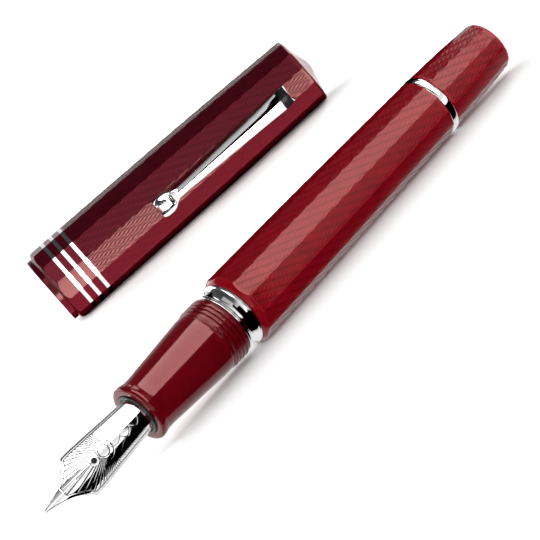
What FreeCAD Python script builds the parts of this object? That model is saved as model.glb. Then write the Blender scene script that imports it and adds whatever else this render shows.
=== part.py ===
import FreeCAD, Part
import math
import os

import Sketcher

# Fountain pen with its cap drawn off, lying on a flat surface.
# Pen axis: u runs from the nib towards the tail, u = 0 at the barrel's front.
# Cap axis: v runs from the mouth towards the crown, v = 0 at the mouth.
# Each piece is drawn on its own axis and then laid down by one placement.

V = FreeCAD.Vector
os.makedirs("parts", exist_ok=True)
doc = FreeCAD.newDocument("fountain_pen")
sheet = doc.addObject("Spreadsheet::Sheet", "Sizes")

SIZES = [
    # barrel: twelve-sided, widths across the corners
    ("barrel_front_d", 14.45),
    ("barrel_mid_d", 13.66),
    ("barrel_rear_d", 11.95),
    ("barrel_mid_at", 23.0),
    ("barrel_length", 53.6),
    ("barrel_nose_r", 6.60),
    ("rest_trim", 0.01),
    ("barrel_nose_len", 1.1),
    ("socket_r", 4.95),
    ("socket_depth", 8.2),
    ("chamber_r", 4.20),
    ("guide_bore_r", 4.60),
    ("guide_bore_at", 38.0),
    # band between section and barrel
    ("band_len", 3.4),
    ("band_bead_r", 6.48),
    ("band_waist_r", 5.93),
    ("band_bore_r", 4.93),
    # section (grip)
    ("lip_at", -26.1),
    ("lip_r", 5.75),
    ("waist_r", 5.45),
    ("waist_at", -22.5),
    ("grip_rear_r", 6.24),
    ("thread_at", -7.7),
    ("thread_core_r", 6.12),
    ("thread_crest_r", 6.42),
    ("thread_pitch", 0.85),
    ("spigot_r", 4.88),
    ("spigot_end", 8.0),
    ("mouth_bore_r", 4.25),
    ("ink_bore_r", 3.0),
    # nib unit
    ("collar_r", 4.20),
    ("collar_bore_r", 3.68),
    ("collar_front", -26.4),
    ("feed_r", 3.18),
    ("feed_tip", -42.0),
    ("fin_gap", 0.32),
    ("fin_pitch", 0.78),
    ("nib_tip_at", -51.6),
    ("nib_sheet", 0.34),
    ("nib_slit", 0.12),
    ("breather_r", 0.55),
    ("breather_from_tip", 12.4),
    ("tipping_r", 0.36),
    # tail ring, piston guide, spindle, piston
    ("ring_r", 6.0),
    ("ring_bore_r", 4.62),
    ("ring_len", 1.5),
    ("guide_r", 4.55),
    ("guide_front", 38.05),
    ("guide_stub_r", 3.4),
    ("guide_end", 58.5),
    ("guide_flange_r", 5.1),
    ("guide_flange_len", 0.7),
    ("rod_corner_d", 5.0),
    ("rod_slot_d", 5.12),
    ("rod_front", 31.0),
    ("rod_end", 54.5),
    ("rod_bore_r", 2.0),
    ("screw_core_r", 1.5),
    ("screw_crest_r", 1.92),
    ("screw_lead", 8.0),
    ("screw_tip", 32.5),
    ("thrust_r", 2.9),
    ("thrust_at", 56.0),
    ("head_r", 3.9),
    ("head_front", 27.5),
    ("head_len", 8.5),
    ("seal_r", 4.13),
    # knob: twelve-sided
    ("knob_front_at", 55.2),
    ("knob_front_d", 11.78),
    ("knob_two_at", 59.4),
    ("knob_two_d", 11.44),
    ("knob_three_at", 64.5),
    ("knob_three_d", 10.85),
    ("knob_end_at", 71.6),
    ("knob_end_d", 9.65),
    # cap: twelve-sided
    ("cap_rim_r", 6.85),
    ("cap_rim_len", 1.05),
    ("cap_mouth_d", 15.38),
    ("cap_two_at", 16.0),
    ("cap_two_d", 15.30),
    ("cap_three_at", 40.0),
    ("cap_three_d", 14.80),
    ("cap_length", 61.9),
    ("cap_top_d", 13.80),
    ("cap_bore_r", 6.55),
    ("cap_bore_len", 10.5),
    ("cap_inner_r", 6.10),
    ("cap_stem_bore_r", 5.2),
    ("cap_stem_bore_at", 55.0),
    ("cap_thread_r", 6.27),
    ("inlay_one_at", 4.43),
    ("inlay_two_at", 6.45),
    ("inlay_three_at", 8.60),
    ("inlay_width", 0.72),
    ("inlay_gap", 0.02),
    ("inlay_outer_d", 15.42),
    ("inlay_inner_d", 14.50),
    ("crown_height", 1.75),
    ("crown_tip_d", 2.0),
    ("stem_r", 5.15),
    ("stem_front", 57.4),
    ("liner_seat_r", 5.80),
    ("liner_seat_at", 26.2),
    ("liner_r", 5.77),
    ("liner_floor", 51.9),
    ("screw_pocket_r", 2.2),
    ("liner_bore_r", 5.2),
    ("liner_front", 26.3),
    ("liner_end", 54.6),
    # clip
    ("slot_at", 55.3),
    ("slot_len", 1.9),
    ("slot_width", 3.62),
    ("end_height", 9.43),
    ("fork_width", 1.95),
    ("fork_end", 28.15),
    ("wheel_at", 26.40),
    ("wheel_r", 1.60),
    ("wheel_width", 1.55),
    ("wheel_height", 8.93),
    ("pin_r", 0.35),
    ("pin_len", 3.4),
    # how the two halves lie
    ("nib_roll", 75.0),
    ("cap_roll", 90.0),
    ("cap_yaw", -23.54),
    ("cap_mouth_x", 13.98),
    ("cap_mouth_y", 110.03),
]
S = dict(SIZES)
for row, (alias, value) in enumerate(SIZES, start=1):
    sheet.set("A%d" % row, alias)
    sheet.set("B%d" % row, "%.5f" % value)
    sheet.setAlias("B%d" % row, alias)
doc.recompute()


def parts_of(expr):
    """'lip_at + 0.3 * waist_r' -> [(sign, [factors])]."""
    terms, sign, factors = [], 1.0, []
    for word in expr.split():
        if word in ("+", "-"):
            if factors:
                terms.append((sign, factors))
            sign, factors = (1.0 if word == "+" else -1.0), []
        elif word != "*":
            factors.append(word)
    terms.append((sign, factors))
    return terms


def num(expr):
    if not isinstance(expr, str):
        return float(expr)
    total = 0.0
    for sign, factors in parts_of(expr):
        product = sign
        for word in factors:
            product *= S[word] if word in S else float(word)
        total += product
    return total


def formula(expr):
    words = []
    for word in expr.split():
        words.append("Sizes." + word if word in S else word)
    return " ".join(words)


def bind(obj, path, expr):
    if isinstance(expr, str):
        obj.setExpression(path, formula(expr))


def plane(body, role):
    for item in body.Origin.OriginFeatures:
        if item.Role == role:
            return item
    raise RuntimeError("no plane " + role)


def new_body(label):
    body = doc.addObject("PartDesign::Body", label)
    body.Label = label
    return body


def new_sketch(body, name, role, offset=None):
    sketch = body.newObject("Sketcher::SketchObject", name)
    sketch.AttachmentSupport = [(plane(body, role), "")]
    sketch.MapMode = "FlatFace"
    if offset is not None:
        sketch.AttachmentOffset = FreeCAD.Placement(
            V(0, 0, num(offset)), FreeCAD.Rotation()
        )
        bind(sketch, "AttachmentOffset.Base.z", offset)
    return sketch


def closed_outline(sketch, points):
    """A closed outline whose corners are each fixed by two driving sizes."""
    xy = [(num(a), num(b)) for a, b in points]
    first = sketch.GeometryCount
    count = len(points)
    sketch.addGeometry(
        [
            Part.LineSegment(
                V(xy[i][0], xy[i][1], 0),
                V(xy[(i + 1) % count][0], xy[(i + 1) % count][1], 0),
            )
            for i in range(count)
        ],
        False,
    )
    for i in range(count):
        sketch.addConstraint(
            Sketcher.Constraint(
                "Coincident", first + i, 2, first + (i + 1) % count, 1
            )
        )
    for i, (a, b) in enumerate(points):
        for kind, value, axis in (("DistanceX", a, -2), ("DistanceY", b, -1)):
            if num(value) == 0.0:
                sketch.addConstraint(
                    Sketcher.Constraint("PointOnObject", first + i, 1, axis)
                )
                continue
            index = sketch.addConstraint(
                Sketcher.Constraint(kind, -1, 1, first + i, 1, num(value))
            )
            bind(sketch, "Constraints[%d]" % index, value)


def turned(body, name, points, cut=False):
    """Revolve a profile (position along the axis, radius) about the axis."""
    sketch = new_sketch(body, name + "_profile", "XZ_Plane")
    closed_outline(sketch, points)
    kind = "PartDesign::Groove" if cut else "PartDesign::Revolution"
    feature = body.newObject(kind, name)
    feature.Profile = sketch
    feature.ReferenceAxis = (sketch, ["H_Axis"])
    feature.Angle = 360.0
    return feature


def polygon(width, sides, phase=0.5):
    """Corners of a regular polygon of the given width across its corners,
    with a flat at the bottom for phase 0.5."""
    out = []
    for k in range(sides):
        angle = 2 * math.pi * (k + phase) / sides - math.pi / 2
        c, s = round(0.5 * math.cos(angle), 9), round(0.5 * math.sin(angle), 9)
        if isinstance(width, str):
            out.append(
                (
                    "%s * %.9f" % (width, c) if c else 0.0,
                    "%s * %.9f" % (width, s) if s else 0.0,
                )
            )
        else:
            out.append((width * c, width * s))
    return out


def faceted(body, name, stations, sides=12):
    """A ruled loft through regular polygons at stations (position, width)."""
    sketches = []
    for i, (at, width) in enumerate(stations):
        sketch = new_sketch(body, "%s_ring%d" % (name, i), "YZ_Plane", at)
        closed_outline(sketch, polygon(width, sides))
        sketches.append(sketch)
    loft = body.newObject("PartDesign::AdditiveLoft", name)
    loft.Profile = sketches[0]
    loft.Sections = sketches[1:]
    loft.Ruled = True
    return loft


def must_shrink(body, before, name):
    doc.recompute()
    after = body.Shape.Volume
    if not after < before - 1e-6:
        raise RuntimeError("%s cut nothing: %.4f -> %.4f" % (name, before, after))


COS15 = math.cos(math.radians(15))
# how far the resting facet's line moves outward over its first millimetre
REST_RISE = (
    0.5 * COS15 * (S["barrel_front_d"] - S["barrel_mid_d"]) / S["barrel_mid_at"]
)

# ---------------------------------------------------------------- barrel
barrel = new_body("barrel")
faceted(
    barrel,
    "barrel_outside",
    [
        (0.0, "barrel_front_d"),
        ("barrel_mid_at", "barrel_mid_d"),
        ("barrel_length", "barrel_rear_d"),
    ],
)
doc.recompute()
v0 = barrel.Shape.Volume
turned(
    barrel,
    "barrel_bore",
    [
        (-1.0, 0.0),
        (-1.0, "socket_r"),
        ("socket_depth", "socket_r"),
        ("socket_depth", "chamber_r"),
        ("guide_bore_at", "chamber_r"),
        ("guide_bore_at", "guide_bore_r"),
        ("barrel_length + 1.0", "guide_bore_r"),
        ("barrel_length + 1.0", 0.0),
    ],
    cut=True,
)
must_shrink(barrel, v0, "barrel_bore")
v0 = barrel.Shape.Volume
turned(
    barrel,
    "barrel_nose",
    [
        (-0.2, "barrel_nose_r - 0.14"),
        ("barrel_nose_len", "0.5 * barrel_front_d"),
        ("barrel_nose_len", 8.5),
        (-0.2, 8.5),
    ],
    cut=True,
)
must_shrink(barrel, v0, "barrel_nose")
# the facet that the pen lies on is ground truly flat
v0 = barrel.Shape.Volume
rest_profile = new_sketch(barrel, "rest_flat_profile", "XZ_Plane")
closed_outline(
    rest_profile,
    [
        (-1.0, -9.0),
        ("barrel_mid_at + 3.0", -9.0),
        (
            "barrel_mid_at + 3.0",
            "rest_trim - %.9f * barrel_mid_d + %.9f" % (0.5 * COS15, 3 * REST_RISE),
        ),
        (-1.0, "rest_trim - %.9f * barrel_front_d - %.9f" % (0.5 * COS15, REST_RISE)),
    ],
)
rest_flat = barrel.newObject("PartDesign::Pocket", "rest_flat")
rest_flat.Profile = rest_profile
rest_flat.Midplane = True
rest_flat.Type = 0
rest_flat.Length = 20.0
must_shrink(barrel, v0, "rest_flat")

# ---------------------------------------------------------------- band
band = new_body("barrel_band")
turned(
    band,
    "band_turning",
    [
        ("0.02 - band_len", "band_bore_r"),
        ("0.02 - band_len", "band_bead_r - 0.24"),
        ("0.12 - band_len", "band_bead_r - 0.05"),
        ("0.30 - band_len", "band_bead_r"),
        ("0.48 - band_len", "band_bead_r - 0.05"),
        ("0.60 - band_len", "band_bead_r - 0.22"),
        ("-0.66 * band_len", "band_waist_r + 0.07"),
        ("-0.50 * band_len", "band_waist_r"),
        ("-0.34 * band_len", "band_waist_r + 0.07"),
        (-0.60, "band_bead_r - 0.22"),
        (-0.48, "band_bead_r - 0.05"),
        (-0.30, "band_bead_r"),
        (-0.12, "band_bead_r - 0.05"),
        (-0.02, "band_bead_r - 0.24"),
        (-0.02, "band_bore_r"),
    ],
)

# ---------------------------------------------------------------- section
section = new_body("section")
turned(
    section,
    "section_turning",
    [
        ("lip_at", "mouth_bore_r"),
        ("lip_at", "lip_r - 0.45"),
        ("lip_at + 0.20", "lip_r - 0.15"),
        ("lip_at + 0.60", "lip_r"),
        ("lip_at + 1.10", "lip_r - 0.05"),
        ("lip_at + 1.90", "lip_r - 0.23"),
        ("waist_at", "waist_r"),
        (-21.0, "waist_r + 0.08"),
        (-19.5, "waist_r + 0.17"),
        (-16.4, "waist_r + 0.34"),
        (-13.3, "waist_r + 0.54"),
        (-10.3, "waist_r + 0.71"),
        (-8.9, "grip_rear_r"),
        ("thread_at", "grip_rear_r"),
        ("thread_at + 0.1", "thread_core_r"),
        ("-1.0 * band_len", "thread_core_r"),
        ("-1.0 * band_len", "spigot_r"),
        ("spigot_end", "spigot_r"),
        ("spigot_end", "ink_bore_r"),
        (-14.0, "ink_bore_r"),
        (-14.0, "mouth_bore_r"),
    ],
)
doc.recompute()

# ---------------------------------------------------------------- collar
collar = new_body("nib_collar")
turned(
    collar,
    "collar_turning",
    [
        ("collar_front", "collar_bore_r"),
        ("collar_front", "collar_r - 0.12"),
        ("collar_front + 0.12", "collar_r"),
        (-14.05, "collar_r"),
        (-14.05, 1.2),
        (-15.0, 1.2),
        (-15.0, "collar_bore_r"),
    ],
)

# ---------------------------------------------------------------- feed
feed = new_body("feed")
turned(
    feed,
    "feed_turning",
    [
        (-15.1, 0.0),
        (-15.1, "feed_r"),
        (-31.0, "feed_r"),
        (-36.5, "feed_r - 0.30"),
        (-40.0, "feed_r - 1.00"),
        ("feed_tip", "feed_r - 1.90"),
        ("feed_tip", 0.0),
    ],
)
doc.recompute()
v0 = feed.Shape.Volume
fin = turned(
    feed,
    "fin_cut",
    [
        (-28.0, "feed_r - 1.0"),
        (-28.0, "feed_r + 1.0"),
        ("-28.0 - fin_gap", "feed_r + 1.0"),
        ("-28.0 - fin_gap", "feed_r - 1.0"),
    ],
    cut=True,
)
must_shrink(feed, v0, "fin_cut")
v0 = feed.Shape.Volume
fins = feed.newObject("PartDesign::LinearPattern", "fins")
fins.Originals = [fin]
fins.Direction = (plane(feed, "X_Axis"), [""])
fins.Reversed = True
fins.Length = 0.78 * 11
fins.setExpression("Length", "Sizes.fin_pitch * 11")
fins.Occurrences = 12
feed.Tip = fins
must_shrink(feed, v0, "fins")

# ---------------------------------------------------------------- nib
# Sheet metal, curved across; each station is (distance from the tip, half
# width, radius of the curve, height of the crest).
NIB = [
    (0.00, 0.24, 3.0, 2.72),
    (1.00, 0.45, 3.2, 2.80),
    (2.80, 0.90, 3.6, 2.95),
    (4.40, 1.44, 4.0, 3.08),
    (5.70, 2.00, 4.3, 3.19),
    (7.20, 2.92, 4.7, 3.30),
    (8.60, 3.82, 5.0, 3.38),
    (9.55, 4.52, 5.15, 3.43),
    (10.55, 4.53, 5.10, 3.46),
    (13.60, 4.38, 4.85, 3.52),
    (18.20, 4.06, 4.35, 3.58),
    (22.60, 3.76, 3.90, 3.61),
    (25.40, 3.60, 3.63, 3.62),
    (36.40, 3.58, 3.63, 3.62),
]


def nib_wire(x, half, radius, crest, sheet_t):
    a_out = math.asin(min(0.9999, half / radius))
    inner = radius - sheet_t

    def at(r, a):
        return V(x, r * math.sin(a), crest - radius + r * math.cos(a))

    outer_arc = Part.Arc(at(radius, -a_out), at(radius, 0), at(radius, a_out)).toShape()
    inner_arc = Part.Arc(at(inner, a_out), at(inner, 0), at(inner, -a_out)).toShape()
    side_a = Part.makeLine(at(radius, a_out), at(inner, a_out))
    side_b = Part.makeLine(at(inner, -a_out), at(radius, -a_out))
    return Part.Wire([outer_arc, side_a, inner_arc, side_b])


nib_blank = doc.addObject("Part::Feature", "nib_blank")
nib_blank.Shape = Part.makeLoft(
    [nib_wire(S["nib_tip_at"] + d, w, r, c, S["nib_sheet"]) for d, w, r, c in NIB],
    True,
    True,
)
slit = doc.addObject("Part::Box", "slit")
bind(slit, "Length", "breather_from_tip + 0.4")
bind(slit, "Width", "nib_slit")
slit.Height = 6.0
slit.Placement = FreeCAD.Placement(
    V(S["nib_tip_at"] - 0.4, -S["nib_slit"] / 2, 0.5), FreeCAD.Rotation()
)
hole = doc.addObject("Part::Cylinder", "breather")
bind(hole, "Radius", "breather_r")
hole.Height = 6.0
hole.Placement = FreeCAD.Placement(
    V(S["nib_tip_at"] + S["breather_from_tip"], 0, 0.5), FreeCAD.Rotation()
)
nib_cuts = doc.addObject("Part::Fuse", "nib_cuts")
nib_cuts.Base = slit
nib_cuts.Tool = hole
nib = doc.addObject("Part::Cut", "nib")
nib.Label = "nib"
nib.Base = nib_blank
nib.Tool = nib_cuts

# two hard beads welded under the tines
bead = doc.addObject("Part::Sphere", "tipping_bead")
bind(bead, "Radius", "tipping_r")
bead.Placement = FreeCAD.Placement(
    V(S["nib_tip_at"] + 0.25, 0, 2.72 - S["nib_sheet"] - 0.22), FreeCAD.Rotation()
)
split = doc.addObject("Part::Box", "tipping_split")
split.Length = 2.0
bind(split, "Width", "nib_slit")
split.Height = 6.0
split.Placement = FreeCAD.Placement(
    V(S["nib_tip_at"] - 1.0, -S["nib_slit"] / 2, 0.0), FreeCAD.Rotation()
)
bead_halves = doc.addObject("Part::Cut", "tipping_halves")
bead_halves.Base = bead
bead_halves.Tool = split
nib_again = doc.addObject("Part::Feature", "nib_outline")
nib_again.Shape = nib_blank.Shape.copy()
tipping = doc.addObject("Part::Cut", "nib_tipping")
tipping.Label = "nib_tipping"
tipping.Base = bead_halves
tipping.Tool = nib_again

# ---------------------------------------------------------------- tail ring
tail_ring = new_body("tail_ring")
turned(
    tail_ring,
    "tail_ring_turning",
    [
        ("barrel_length + 0.03", "ring_bore_r"),
        ("barrel_length + 0.03", "ring_r - 0.28"),
        ("barrel_length + 0.14", "ring_r - 0.12"),
        ("barrel_length + 0.32", "ring_r - 0.03"),
        ("barrel_length + 0.5 * ring_len", "ring_r"),
        ("barrel_length + ring_len - 0.32", "ring_r - 0.03"),
        ("barrel_length + ring_len - 0.14", "ring_r - 0.12"),
        ("barrel_length + ring_len - 0.03", "ring_r - 0.28"),
        ("barrel_length + ring_len - 0.03", "ring_bore_r"),
    ],
)

# ---------------------------------------------------------------- guide
guide = new_body("piston_guide")
turned(
    guide,
    "guide_turning",
    [
        ("guide_front", 0.0),
        ("guide_front", "guide_r - 0.15"),
        ("guide_front + 0.9", "guide_r - 0.15"),
        ("guide_front + 0.9", "guide_r - 0.60"),
        ("guide_front + 2.0", "guide_r - 0.60"),
        ("guide_front + 2.0", "guide_r"),
        ("barrel_length + ring_len + 0.02", "guide_r"),
        ("barrel_length + ring_len + 0.02", "guide_flange_r"),
        ("barrel_length + ring_len + guide_flange_len", "guide_flange_r"),
        ("barrel_length + ring_len + guide_flange_len", "guide_stub_r"),
        ("guide_end", "guide_stub_r"),
        ("guide_end", "thrust_r + 0.08"),
        ("thrust_at - 0.08", "thrust_r + 0.08"),
        ("thrust_at - 0.08", 2.62),
        (41.5, 2.62),
        (41.5, 0.0),
    ],
)
doc.recompute()
v0 = guide.Shape.Volume
key_hole = new_sketch(guide, "key_hole", "YZ_Plane", "guide_front - 1.0")
closed_outline(key_hole, polygon("rod_slot_d", 6))
key_cut = guide.newObject("PartDesign::Pocket", "key_cut")
key_cut.Profile = key_hole
key_cut.Type = 0
key_cut.Length = 6.0
key_cut.Reversed = True
must_shrink(guide, v0, "key_cut")

guide_seal = new_body("guide_seal")
turned(
    guide_seal,
    "guide_seal_turning",
    [
        ("guide_front + 0.95", "guide_r - 0.57"),
        ("guide_front + 1.05", "guide_r - 0.10"),
        ("guide_front + 1.25", "guide_r + 0.02"),
        ("guide_front + 1.65", "guide_r + 0.02"),
        ("guide_front + 1.85", "guide_r - 0.10"),
        ("guide_front + 1.95", "guide_r - 0.57"),
    ],
)

# ---------------------------------------------------------------- spindle
spindle = new_body("piston_spindle")
turned(
    spindle,
    "spindle_turning",
    [
        ("screw_tip", 0.0),
        ("screw_tip", "screw_core_r"),
        (55.0, "screw_core_r"),
        (55.0, 1.6),
        ("thrust_at", 1.6),
        ("thrust_at", "thrust_r"),
        ("thrust_at + 1.2", "thrust_r"),
        ("thrust_at + 1.2", 1.6),
        (59.5, 1.6),
        (59.5, 1.9),
        (66.0, 1.9),
        (66.0, 0.0),
    ],
)
doc.recompute()

spindle_clip = new_body("spindle_clip")
turned(
    spindle_clip,
    "spindle_clip_turning",
    [
        ("thrust_at + 1.28", 1.72),
        ("thrust_at + 1.28", "thrust_r + 0.05"),
        ("thrust_at + 1.98", "thrust_r + 0.05"),
        ("thrust_at + 1.98", 1.72),
    ],
)

# ---------------------------------------------------------------- knob
knob = new_body("piston_knob")
faceted(
    knob,
    "knob_outside",
    [
        ("knob_front_at", "knob_front_d"),
        ("knob_two_at", "knob_two_d"),
        ("knob_three_at", "knob_three_d"),
        ("knob_end_at", "knob_end_d"),
    ],
)
doc.recompute()
v0 = knob.Shape.Volume
turned(
    knob,
    "knob_dome",
    [
        ("knob_end_at - 1.55", 5.25),
        ("knob_end_at - 1.10", 4.92),
        ("knob_end_at - 0.65", 4.50),
        ("knob_end_at - 0.35", 3.95),
        ("knob_end_at - 0.12", 2.80),
        ("knob_end_at - 0.02", 0.0),
        ("knob_end_at + 1.0", 0.0),
        ("knob_end_at + 1.0", 6.5),
        ("knob_end_at - 1.55", 6.5),
    ],
    cut=True,
)
must_shrink(knob, v0, "knob_dome")
v0 = knob.Shape.Volume
turned(
    knob,
    "knob_bore",
    [
        ("knob_front_at - 1.0", 0.0),
        ("knob_front_at - 1.0", "guide_flange_r + 0.1"),
        ("knob_front_at + 0.9", "guide_flange_r + 0.1"),
        ("knob_front_at + 0.9", "guide_stub_r + 0.08"),
        ("guide_end + 0.3", "guide_stub_r + 0.08"),
        ("guide_end + 0.3", 1.93),
        (66.1, 1.93),
        (66.1, 0.0),
    ],
    cut=True,
)
must_shrink(knob, v0, "knob_bore")

# ---------------------------------------------------------------- piston
rod = new_body("piston_rod")
rod_outline = new_sketch(rod, "rod_outline", "YZ_Plane", "rod_front")
closed_outline(rod_outline, polygon("rod_corner_d", 6))
rod_pad = rod.newObject("PartDesign::Pad", "rod_pad")
rod_pad.Profile = rod_outline
rod_pad.Length = 20.0
rod_pad.setExpression("Length", "Sizes.rod_end - Sizes.rod_front")
doc.recompute()
v0 = rod.Shape.Volume
turned(
    rod,
    "rod_bore",
    [
        ("rod_front + 1.2", 0.0),
        ("rod_front + 1.2", "rod_bore_r"),
        ("rod_end + 1.0", "rod_bore_r"),
        ("rod_end + 1.0", 0.0),
    ],
    cut=True,
)
must_shrink(rod, v0, "rod_bore")

head = new_body("piston_head")
turned(
    head,
    "head_turning",
    [
        ("head_front", 0.0),
        ("head_front", "head_r - 0.5"),
        ("head_front + 0.5", "head_r"),
        ("head_front + 1.3", "head_r"),
        ("head_front + 1.3", "head_r - 0.4"),
        ("head_front + 2.5", "head_r - 0.4"),
        ("head_front + 2.5", "head_r"),
        ("head_front + 5.7", "head_r"),
        ("head_front + 5.7", "head_r - 0.4"),
        ("head_front + 6.9", "head_r - 0.4"),
        ("head_front + 6.9", "head_r"),
        ("head_front + head_len", "head_r"),
        ("head_front + head_len", 2.53),
        ("rod_front - 0.02", 2.53),
        ("rod_front - 0.02", 0.0),
    ],
)

seals = new_body("piston_seals")
for index, at in enumerate((1.35, 5.75)):
    turned(
        seals,
        "seal_%d" % (index + 1),
        [
            ("head_front + %.2f" % at, "head_r - 0.38"),
            ("head_front + %.2f" % (at + 0.15), "seal_r - 0.10"),
            ("head_front + %.2f" % (at + 0.35), "seal_r"),
            ("head_front + %.2f" % (at + 0.75), "seal_r"),
            ("head_front + %.2f" % (at + 0.95), "seal_r - 0.10"),
            ("head_front + %.2f" % (at + 1.10), "head_r - 0.38"),
        ],
    )

# ---------------------------------------------------------------- cap shell
cap = new_body("cap_shell")
faceted(
    cap,
    "cap_outside",
    [
        ("cap_rim_len", "cap_mouth_d"),
        ("cap_two_at", "cap_two_d"),
        ("cap_three_at", "cap_three_d"),
        ("cap_length", "cap_top_d"),
    ],
)
doc.recompute()
v0 = cap.Shape.Volume
turned(
    cap,
    "cap_shoulder",
    [
        ("cap_rim_len - 0.5", "cap_rim_r - 0.35"),
        ("cap_rim_len + 0.12", "cap_rim_r + 0.25"),
        ("cap_rim_len + 0.45", "0.5 * cap_mouth_d - 0.22"),
        ("cap_rim_len + 0.95", "0.5 * cap_mouth_d"),
        ("cap_rim_len + 0.95", 9.0),
        ("cap_rim_len - 0.5", 9.0),
    ],
    cut=True,
)
must_shrink(cap, v0, "cap_shoulder")
turned(
    cap,
    "cap_rim",
    [
        (0.0, 6.0),
        (0.0, "cap_rim_r - 0.12"),
        (0.12, "cap_rim_r"),
        ("cap_rim_len + 0.3", "cap_rim_r"),
        ("cap_rim_len + 0.3", 6.0),
    ],
)
doc.recompute()
v0 = cap.Shape.Volume
turned(
    cap,
    "cap_bore",
    [
        (-1.0, 0.0),
        (-1.0, "cap_bore_r"),
        ("cap_bore_len", "cap_bore_r"),
        ("cap_bore_len", "cap_inner_r"),
        ("liner_seat_at", "cap_inner_r"),
        ("liner_seat_at", "liner_seat_r"),
        ("cap_stem_bore_at", "liner_seat_r"),
        ("cap_stem_bore_at", "cap_stem_bore_r"),
        ("cap_length + 1.0", "cap_stem_bore_r"),
        ("cap_length + 1.0", 0.0),
    ],
    cut=True,
)
must_shrink(cap, v0, "cap_bore")
for index, at in enumerate(("inlay_one_at", "inlay_two_at", "inlay_three_at")):
    v0 = cap.Shape.Volume
    groove = new_sketch(
        cap,
        "inlay_groove_%d" % (index + 1),
        "YZ_Plane",
        "%s - 0.5 * inlay_width - inlay_gap" % at,
    )
    closed_outline(groove, polygon(17.0, 12))
    closed_outline(groove, polygon("inlay_inner_d", 12))
    pocket = cap.newObject("PartDesign::Pocket", "inlay_cut_%d" % (index + 1))
    pocket.Profile = groove
    pocket.Type = 0
    pocket.Length = 0.76
    pocket.setExpression("Length", "Sizes.inlay_width + 2 * Sizes.inlay_gap")
    pocket.Reversed = True
    must_shrink(cap, v0, "inlay_cut_%d" % (index + 1))
v0 = cap.Shape.Volume
window = new_sketch(cap, "clip_window", "XY_Plane")
closed_outline(
    window,
    [
        ("slot_at", "-0.5 * slot_width"),
        ("slot_at + slot_len", "-0.5 * slot_width"),
        ("slot_at + slot_len", "0.5 * slot_width"),
        ("slot_at", "0.5 * slot_width"),
    ],
)
window_cut = cap.newObject("PartDesign::Pocket", "clip_window_cut")
window_cut.Profile = window
window_cut.Type = 0
window_cut.Length = 9.0
window_cut.Reversed = True
must_shrink(cap, v0, "clip_window_cut")

# ---------------------------------------------------------------- cap rings
rings = []
for index, at in enumerate(("inlay_one_at", "inlay_two_at", "inlay_three_at")):
    ring = new_body("cap_ring_%d" % (index + 1))
    outline = new_sketch(
        ring, "ring_outline_%d" % (index + 1), "YZ_Plane", "%s - 0.5 * inlay_width" % at
    )
    closed_outline(outline, polygon("inlay_outer_d", 12))
    closed_outline(outline, polygon("inlay_inner_d", 12))
    pad = ring.newObject("PartDesign::Pad", "ring_pad_%d" % (index + 1))
    pad.Profile = outline
    pad.Length = 0.72
    pad.setExpression("Length", "Sizes.inlay_width")
    rings.append(ring)

# ---------------------------------------------------------------- crown
# Low twelve-sided pyramid on a round stem that plugs the top of the cap.
CROWN = [
    (S["cap_length"] + 0.03, S["cap_top_d"] - 0.06),
    (S["cap_length"] + 0.30, S["cap_top_d"] - 0.50),
    (S["cap_length"] + S["crown_height"], S["crown_tip_d"]),
]
crown_top = doc.addObject("Part::Feature", "crown_pyramid")
crown_solid = None
for (x0, d0), (x1, d1) in zip(CROWN, CROWN[1:]):
    wires = []
    for x, d in ((x0, d0), (x1, d1)):
        corners = [V(x, a, b) for a, b in polygon(d, 12)]
        wires.append(Part.makePolygon(corners + [corners[0]]))
    piece = Part.makeLoft(wires, True, True)
    crown_solid = piece if crown_solid is None else crown_solid.fuse(piece)
crown_top.Shape = crown_solid.removeSplitter()
stem = doc.addObject("Part::Cylinder", "crown_stem")
bind(stem, "Radius", "stem_r")
bind(stem, "Height", "cap_length + 0.2 - stem_front")
stem.Placement = FreeCAD.Placement(
    V(S["stem_front"], 0, 0), FreeCAD.Rotation(V(0, 1, 0), 90)
)
screw_hole = doc.addObject("Part::Cylinder", "screw_hole")
screw_hole.Radius = 1.02
bind(screw_hole, "Height", "cap_length - 0.5 - stem_front + 1.0")
screw_hole.Placement = FreeCAD.Placement(
    V(S["stem_front"] - 1.0, 0, 0), FreeCAD.Rotation(V(0, 1, 0), 90)
)
crown_body = doc.addObject("Part::Fuse", "crown_body")
crown_body.Base = crown_top
crown_body.Tool = stem
crown = doc.addObject("Part::Cut", "cap_crown")
crown.Label = "cap_crown"
crown.Base = crown_body
crown.Tool = screw_hole
doc.recompute()

# ---------------------------------------------------------------- liner, screw
liner = new_body("inner_cap")
turned(
    liner,
    "liner_turning",
    [
        ("liner_front", "liner_bore_r"),
        ("liner_front", "liner_r - 0.1"),
        ("liner_front + 0.1", "liner_r"),
        ("liner_end", "liner_r"),
        ("liner_end", 1.05),
        ("liner_end - 1.4", 1.05),
        ("liner_end - 1.4", "screw_pocket_r"),
        ("liner_floor", "screw_pocket_r"),
        ("liner_floor", "liner_bore_r"),
    ],
)
screw = new_body("clip_screw")
turned(
    screw,
    "screw_turning",
    [
        ("liner_end - 2.3", 0.0),
        ("liner_end - 2.3", 1.7),
        ("liner_end - 2.1", 1.9),
        ("liner_end - 1.43", 1.9),
        ("liner_end - 1.43", 1.0),
        ("cap_length - 0.8", 1.0),
        ("cap_length - 0.8", 0.0),
    ],
)

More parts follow.
